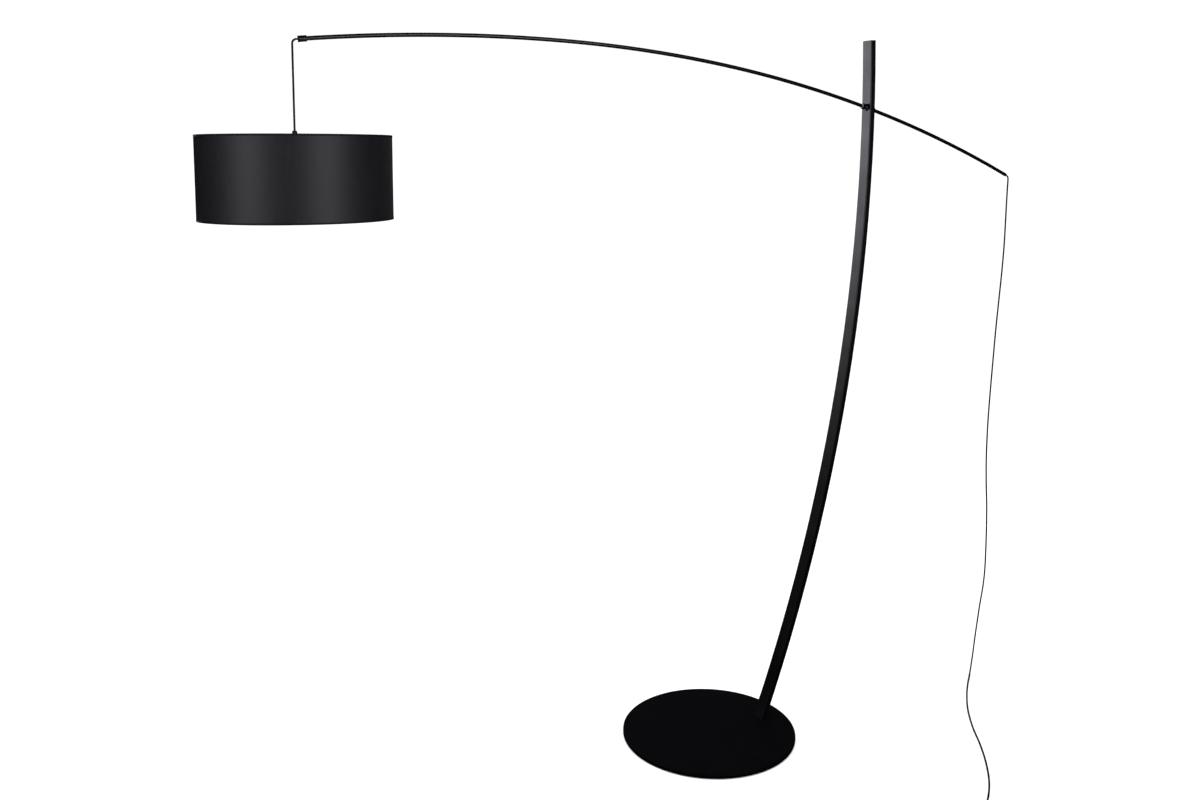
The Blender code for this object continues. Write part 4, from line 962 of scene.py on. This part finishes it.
class LAMP_OT_bulb(bpy.types.Operator):
    """Finish the opal bulb"""

    bl_idname = "lamp.bulb"
    bl_label = "Bulb"

    def execute(self, context):
        low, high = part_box("bulb_glass")
        radius, neck, wall, length = (high.x - low.x) / 2, 0.0125, 0.0010, high.z - low.z
        count = 17
        shells = []
        for inset in (0.0, wall):
            belly, line = length - radius, [(neck - inset, 0.0)]
            for k in range(1, count):
                swell = (1 - math.cos(math.pi * k / count)) / 2
                line.append((neck - inset + (radius - neck) * swell, -belly * k / count))
            ball = radius - inset
            for k in range(count):
                angle = math.pi / 2 * k / count
                line.append((ball * math.cos(angle), -belly - ball * math.sin(angle)))
            shells.append([*line, (0.0, -belly - ball)])
        profile = [*reversed(shells[0]), *shells[1]]
        piece = turned("opal_bulb", profile, 64, hang_place(high.z), 60.0)
        finish(piece, PENDANT, "opal_glass", ("bulb_glass",))
        return {"FINISHED"}


class LAMP_OT_shade(bpy.types.Operator):
    """Finish the drum shade: laminated fabric, its lining, taped edges, back seam and wire frame"""

    bl_idname = "lamp.shade"
    bl_label = "Shade"

    def execute(self, context):
        shade = context.scene.lamp_shade
        place = hang_place(0.0)
        low, high, outer = SHADE_LOW.z, SHADE_HIGH.z, SHADE_RADIUS
        inner, core = outer - SHADE_WALL, outer - SHADE_WALL * 0.45
        levels = [low + (high - low) * k / 12 for k in range(13)]
        cloth = [*((outer, z) for z in levels), *((core, z) for z in reversed(levels))]
        drum = turned("shade_cloth", cloth, shade.sides, place)
        unroll(drum, HANG)
        finish(drum, PENDANT, "shade_fabric", ("shade_drum",))
        back = core - 0.00005
        lining = [(back, low), (back, high), (inner, high), (inner, low)]
        sheet = turned("shade_lining", lining, shade.sides, place)
        white = grain_material(
            "shade_lining", shade.lining, (0.66, 0.65, 0.62), size=0.0015, flecks=0.2,
            roughness=0.6, spread=0.15, relief=0.00002, Specular_IOR_Level=0.3,
        )
        finish(sheet, PENDANT, None, material=white)

        proud, width, clear, round_off = shade.hem_proud, shade.hem_width, 0.00003, 0.0003
        tape = weave_material(
            "hem_tape", (0.0030, 0.0030, 0.0032), (0.008, 0.008, 0.0085), 0.0005, 0.62, 0.25
        )
        for name, edge, way in (("hem_top", high, -1), ("hem_bottom", low, 1)):
            crest = edge - way * proud * 0.8
            hem = [
                (outer + clear, edge + way * width), (outer + proud * 0.7, edge + way * width),
                (outer + proud, edge + way * (width - 0.0004)),
                (outer + proud, edge + way * round_off), (outer + proud * 0.4, crest),
                (core, edge - way * proud), (inner - proud * 0.4, crest),
                (inner - proud, edge + way * round_off),
                (inner - proud, edge + way * width * 1.6),
                (inner - clear, edge + way * width * 1.6), (inner - clear, edge - way * 0.00002),
                (outer + clear, edge - way * 0.00002),
            ]
            piece = turned(name, hem, shade.sides, place)
            unroll(piece, HANG)
            finish(piece, PENDANT, "shade_fabric", material=tape)

        strip = fresh(
            bpy.ops.mesh.primitive_cylinder_add, "back_seam", vertices=720,
            radius=outer + 0.0004, depth=high - low - 2 * width, end_fill_type="NOTHING",
            location=(0, 0, (low + high) / 2),
        )
        settle(strip)
        half_lap = 0.0062
        pick(strip, faces=lambda f: f.center.y <= 0 or abs(f.center.x) >= half_lap)
        bpy.ops.mesh.delete(type="FACE")
        done()
        thick = strip.modifiers.new("thickness", "SOLIDIFY")
        thick.thickness, thick.offset = 0.00035, -1.0
        apply_all(strip)
        settle(strip, place)
        smooth(strip, 30.0)
        unroll(strip, HANG)
        finish(strip, PENDANT, "shade_fabric")

        level = FRAME_TOP - WIRE_RADIUS
        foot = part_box("shade_bottom_ring")[0].z + WIRE_RADIUS
        rings = []
        for name, height in (("frame_top", level), ("frame_bottom", foot)):
            ring = fresh(
                bpy.ops.mesh.primitive_torus_add, name, major_segments=shade.sides,
                minor_segments=12, major_radius=RING_MAJOR, minor_radius=WIRE_RADIUS,
                location=(HANG.x, 0, height),
            )
            settle(ring)
            smooth(ring, 60.0)
            rings.append(ring)
        finish(rings[1], PENDANT, "powder_coat", ("shade_bottom_ring",))

        spider = hang_place(level - SPIDER_DROP)
        rim, half, edge = 0.0300, 0.0007, 0.0001
        washer = [
            (RING_NUT_BORE, -half), (rim - edge, -half), (rim, -half + edge), (rim, half - edge),
            (rim - edge, half), (RING_NUT_BORE, half),
        ]
        parts = [rings[0], turned("spider_washer", washer, 64, spider)]
        bar = [
            (0.0282, 0, 0), (0.035, 0, 0.0012), (0.120, 0, SPIDER_DROP * 0.50),
            (RING_MAJOR - 0.020, 0, SPIDER_DROP * 0.90),
            (RING_MAJOR - 0.010, 0, SPIDER_DROP * 0.95), (RING_MAJOR - 0.0012, 0, SPIDER_DROP),
        ]
        for k in range(3):
            turn = spider @ Matrix.Rotation(math.radians(30 + 120 * k), 4, "Z")
            route = [turn @ point for point in smooth_route(bar, 6)]
            parts.append(wire(f"spider_arm_{k}", route, WIRE_RADIUS * 0.9, 12))
        finish(joined("shade_wire_frame", parts), PENDANT, "powder_coat", ("shade_frame",))
        return {"FINISHED"}


# ---------------- mains cord


def switch_end(back, height):
    """A point behind the end of the switch that the mains cord enters."""
    return lead_place(-SWITCH_LENGTH / 2 - back, 0.0, height).translation


def mains_route():
    """From the arm's tail down to the floor and into the switch."""
    tail, towards_tip = arm_station(ARM_TAIL)
    start = tail - towards_tip * (TAIL_BUNG_RIM + TUBE_GAP)
    route = [start + Vector(offset) for offset in TAIL_BEND]
    route += [Vector((start.x + dx, y, start.z * height)) for dx, y, height in CORD_DROP]
    route += [Vector(point) for point in FLOOR_RUN]
    level = SWITCH_CORD_HEIGHT
    for back, height in ((0.052, 0.0030), (0.016, level - 0.0007), (TUBE_GAP, level)):
        route.append(switch_end(back, height))
    return smooth_route(route, 8)


def lead_route():
    """From the switch into the coil, round its two layers of turns, and on to the plug."""
    (centre_x, centre_y), (plug_x, plug_y) = COIL_CENTRE, PLUG_PLACE
    outer, inner = (COIL_MIDDLE_RADIUS + k * COIL_PITCH for k in (1.25, -1.25))
    side = centre_y - outer
    out = SWITCH_LENGTH / 2
    level = SWITCH_CORD_HEIGHT
    points = [
        (out + TUBE_GAP, 0.0, level),
        (out + 0.012, -0.0004, level - 0.0008),
        (out + 0.035, side / 2, COIL_LOW),
        (out + 0.058, side * 0.88, COIL_LOW),
        (centre_x - 0.018, side, COIL_LOW),
    ]

    def turn(angle, radius, height):
        a = math.radians(angle)
        return (centre_x + radius * math.cos(a), centre_y + radius * math.sin(a), height)

    for angle in range(-90, 811, 20):
        points.append(turn(angle, outer - COIL_PITCH * (angle + 90) / 360, COIL_LOW))
    rise = COIL_HIGH - COIL_LOW
    for angle in range(830, 981, 20):
        lift = (1 - math.cos(math.pi * (angle - 810) / 180)) / 2
        points.append(turn(angle, inner, COIL_LOW + rise * lift))
    for angle in range(990, 1711, 20):
        points.append(turn(angle, inner + (outer - inner) * (angle - 990) / 720, COIL_HIGH))
    points += [
        (centre_x + 0.020, side + 0.0006, COIL_HIGH - 0.0006),
        (centre_x + 0.040, side + 0.0030, COIL_HIGH - 0.0040),
        (centre_x + 0.062, side + 0.0070, 0.0032),
        (plug_x - 0.018, plug_y - 0.0010, PLUG_MIDDLE_HEIGHT - 0.0022),
        (plug_x - TUBE_GAP, plug_y, PLUG_MIDDLE_HEIGHT),
    ]
    return smooth_route([lead_place(*point).translation for point in points], 3)


def strain_relief(name, point, way, size):
    """A ribbed taper of soft plastic over the flex, from its wide end at a point."""
    length, thick = size
    hole, thin, ribs = CORD_RADIUS + 0.0001, CORD_RADIUS + 0.0005, 6
    profile = [(hole, 0.0), (thick, 0.0)]
    for k in range(ribs):
        here = length * (k + 0.55) / (ribs + 0.5)
        radius = thick + (thin - thick) * here / length
        profile += [
            (radius, here), (radius - 0.0005, here + 0.0005), (radius - 0.0005, here + 0.0013),
            (radius - 0.0001, here + 0.0018),
        ]
    profile += [(thin, length - 0.0004), (thin - 0.0002, length), (hole, length)]
    piece = turned(name, profile, 32, along(point, lead_way(way)))
    return finish(piece, STAND, "black_plastic")


class LAMP_OT_mains_cord(bpy.types.Operator):
    """Lay the mains cord: down from the arm's tail, over the floor and into the foot switch"""

    bl_idname = "lamp.mains_cord"
    bl_label = "Mains cord"

    def execute(self, context):
        route = mains_route()
        piece = wire("mains_flex", route, CORD_RADIUS, context.scene.lamp_flex.sides)
        finish(piece, None, "flex", ("mains_cord_drop",))
        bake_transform(piece)
        inlet_at = switch_end(0.0, SWITCH_CORD_HEIGHT)
        inlet = strain_relief("switch_inlet", inlet_at, -1, SWITCH_RELIEF)
        return {"FINISHED"}


class LAMP_OT_coil(bpy.types.Operator):
    """Wind the rest of the mains cord from the switch into its tied coil, and on to the plug"""

    bl_idname = "lamp.coil"
    bl_label = "Coil and plug"

    def execute(self, context):
        route = lead_route()
        piece = wire("plug_flex", route, CORD_RADIUS, context.scene.lamp_flex.sides)
        stands_for = ("mains_cord_link", "mains_cord_coil", "mains_cord_end")
        finish(piece, STAND, "flex", stands_for)
        outlet_at = lead_place(SWITCH_LENGTH / 2, 0.0, SWITCH_CORD_HEIGHT).translation
        outlet = strain_relief("switch_outlet", outlet_at, 1, SWITCH_RELIEF)
        plug_x, plug_y = PLUG_PLACE
        entry_at = lead_place(plug_x + 0.001, plug_y, PLUG_MIDDLE_HEIGHT).translation
        entry = strain_relief("plug_neck", entry_at, -1, PLUG_RELIEF)
        return {"FINISHED"}


class LAMP_OT_switch(bpy.types.Operator):
    """Add the foot switch's cover screws and the ribs on its button"""

    bl_idname = "lamp.switch"
    bl_label = "Foot switch"

    def execute(self, context):
        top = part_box("switch_button")[1].z
        ribs = []
        for k in range(-2, 3):
            rib = fresh(bpy.ops.mesh.primitive_cube_add, "button_rib", size=1.0)
            rib.scale = (0.0014, 0.0110, 0.0007)
            settle(rib)
            pick(rib, edges=lambda a, b: a.z > 0 and b.z > 0)
            bpy.ops.mesh.bevel(offset=0.0003, segments=2, affect="EDGES")
            done()
            settle(rib, lead_place(0.0042 * k, 0.0, top + 0.0002))
            ribs.append(rib)
        finish(joined("button_ribs", ribs), "switch_button", "black_plastic")

        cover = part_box("switch_upper")[1].z
        for k, x in enumerate((-0.030, 0.030)):
            screw = fresh(
                bpy.ops.mesh.primitive_cylinder_add, f"cover_screw_{k + 1}", vertices=32,
                radius=0.0022, depth=0.0008,
            )
            cut_slits(screw, (0.0028, 0.0005, 0.0008), 0.0004, (0.0, math.pi / 2))
            settle(screw, lead_place(x, 0.0, cover + 0.0002))
            finish(screw, STAND, "bare_steel")
        return {"FINISHED"}


# ---------------- the frame's own nodes


class LAMP_OT_finishes(bpy.types.Operator):
    """Give the frame's remaining nodes their finishes"""

    bl_idname = "lamp.finishes"
    bl_label = "Finishes"

    def execute(self, context):
        by_slot = slot_materials(context.scene)
        for row in frame["record"]["subparts"]:
            node = frame["nodes"][row["node"]]
            node.data.materials.clear()
            node.data.materials.append(by_slot[row["material_slot"]])
        return {"FINISHED"}


# ---------------- floor, light and camera


SHADE_SPOT = (-1.14, 0.0, 1.6)
SOFTBOXES = (  # setting, name, place, what it faces, width, height
    ("left", "left_softbox", (-3.66, -1.32, 1.9), SHADE_SPOT, 1.35, 2.0),
    ("right", "right_softbox", (0.36, -3.5, 1.9), SHADE_SPOT, 1.75, 2.0),
    ("back", "back_softbox", (-1.45, 2.45, 2.28), (0.5, 0.0, 1.65), 1.2, 1.75),
    ("glow", "low_glow", (1.9, 3.1, 2.0), (0.0, 0.0, 0.0), 3.4, 2.4),
)
LIGHT_TINT = (0.93, 0.92, 1.0)


def softbox(name, place, aim, width, height, watts):
    """A rectangular light that faces a point and isn't seen by the camera."""
    bpy.ops.object.light_add(type="AREA", location=place)
    lamp = bpy.context.object
    lamp.name = name
    lamp.data.shape = "RECTANGLE"
    lamp.data.size, lamp.data.size_y = width, height
    lamp.data.energy = watts
    lamp.rotation_euler = (Vector(aim) - Vector(place)).to_track_quat("-Z", "Y").to_euler()
    lamp.data.color = LIGHT_TINT
    lamp.visible_camera = False
    return lamp


class LAMP_OT_stage(bpy.types.Operator):
    """Set the pale floor, the soft studio light and the camera"""

    bl_idname = "lamp.stage"
    bl_label = "Stage"

    def execute(self, context):
        stage = context.scene.lamp_stage
        floor = fresh(bpy.ops.mesh.primitive_plane_add, "floor", size=400.0)
        paper = bpy.data.materials.new("pale_floor")
        paper.use_nodes = True
        shader = paper.node_tree.nodes["Principled BSDF"]
        shader.inputs["Base Color"].default_value = (*stage.floor, 1.0)
        shader.inputs["Roughness"].default_value = 0.9
        shader.inputs["Specular IOR Level"].default_value = 0.1
        floor.data.materials.append(paper)
        floor.visible_glossy = False

        bpy.ops.object.light_add(type="SUN", location=(0.0, 0.0, 6.0))
        sun = context.object
        sun.name = "overhead"
        sun.data.energy = stage.overhead
        sun.data.angle = math.radians(70.0)
        sun.visible_glossy = False
        lights = {
            setting: softbox(*box, getattr(stage, setting)) for setting, *box in SOFTBOXES
        }
        lit = bpy.data.collections.new("lit_from_behind")
        for piece in bpy.data.objects:
            if piece.type == "MESH" and not piece.name.startswith("shade"):
                lit.objects.link(piece)
        lights["back"].light_linking.receiver_collection = lit

        world = bpy.data.worlds.new("studio")
        world.use_nodes = True
        backdrop = world.node_tree.nodes["Background"].inputs
        backdrop["Color"].default_value = (1.0, 1.0, 1.0, 1.0)
        backdrop["Strength"].default_value = 1.05
        world.cycles_visibility.diffuse = False
        world.cycles_visibility.glossy = False
        context.scene.world = world

        turn = (stage.camera_tilt, 0.0, stage.camera_turn)
        bpy.ops.object.camera_add(location=stage.camera_place, rotation=turn)
        camera = context.object
        camera.data.sensor_width = 36.0
        camera.data.lens = stage.camera_lens
        camera.data.shift_y = stage.camera_shift
        camera.data.clip_end = 200.0
        camera.data.dof.use_dof = False
        context.scene.camera = camera
        context.scene.view_settings.view_transform = "Standard"
        return {"FINISHED"}


# ---------------- panel and registration

SETTINGS = {
    "lamp_paint": LampPaint,
    "lamp_shade": LampShade,
    "lamp_flex": LampFlex,
    "lamp_stage": LampStage,
}
OPERATORS = (  # the stage is last, so that its light linking knows every piece
    LAMP_OT_finishes, LAMP_OT_mains_cord, LAMP_OT_coil, LAMP_OT_switch, LAMP_OT_base,
    LAMP_OT_clamp, LAMP_OT_arm, LAMP_OT_pendant_flex, LAMP_OT_lampholder, LAMP_OT_bulb,
    LAMP_OT_shade, LAMP_OT_stage,
)


class LAMP_PT_panel(bpy.types.Panel):
    """The lamp's pieces, in the order they are finished"""

    bl_idname = "LAMP_PT_panel"
    bl_label = "Arc floor lamp"
    bl_space_type = "VIEW_3D"
    bl_region_type = "UI"
    bl_category = "Lamp"

    def draw(self, context):
        for name in SETTINGS:
            box = self.layout.box()
            group = getattr(context.scene, name)
            for key in group.__annotations__:
                box.prop(group, key)
        for operator in OPERATORS:
            self.layout.operator(operator.bl_idname)


def register():
    for group in SETTINGS.values():
        bpy.utils.register_class(group)
    for name, group in SETTINGS.items():
        setattr(bpy.types.Scene, name, bpy.props.PointerProperty(type=group))
    for operator in (*OPERATORS, LAMP_PT_panel):
        bpy.utils.register_class(operator)


def unregister():
    for operator in reversed((*OPERATORS, LAMP_PT_panel)):
        bpy.utils.unregister_class(operator)
    for name, group in SETTINGS.items():
        delattr(bpy.types.Scene, name)
        bpy.utils.unregister_class(group)


def main():
    register()
    for operator in OPERATORS:
        group, name = operator.bl_idname.split(".")
        getattr(getattr(bpy.ops, group), name)()


if __name__ == "__main__":
    main()
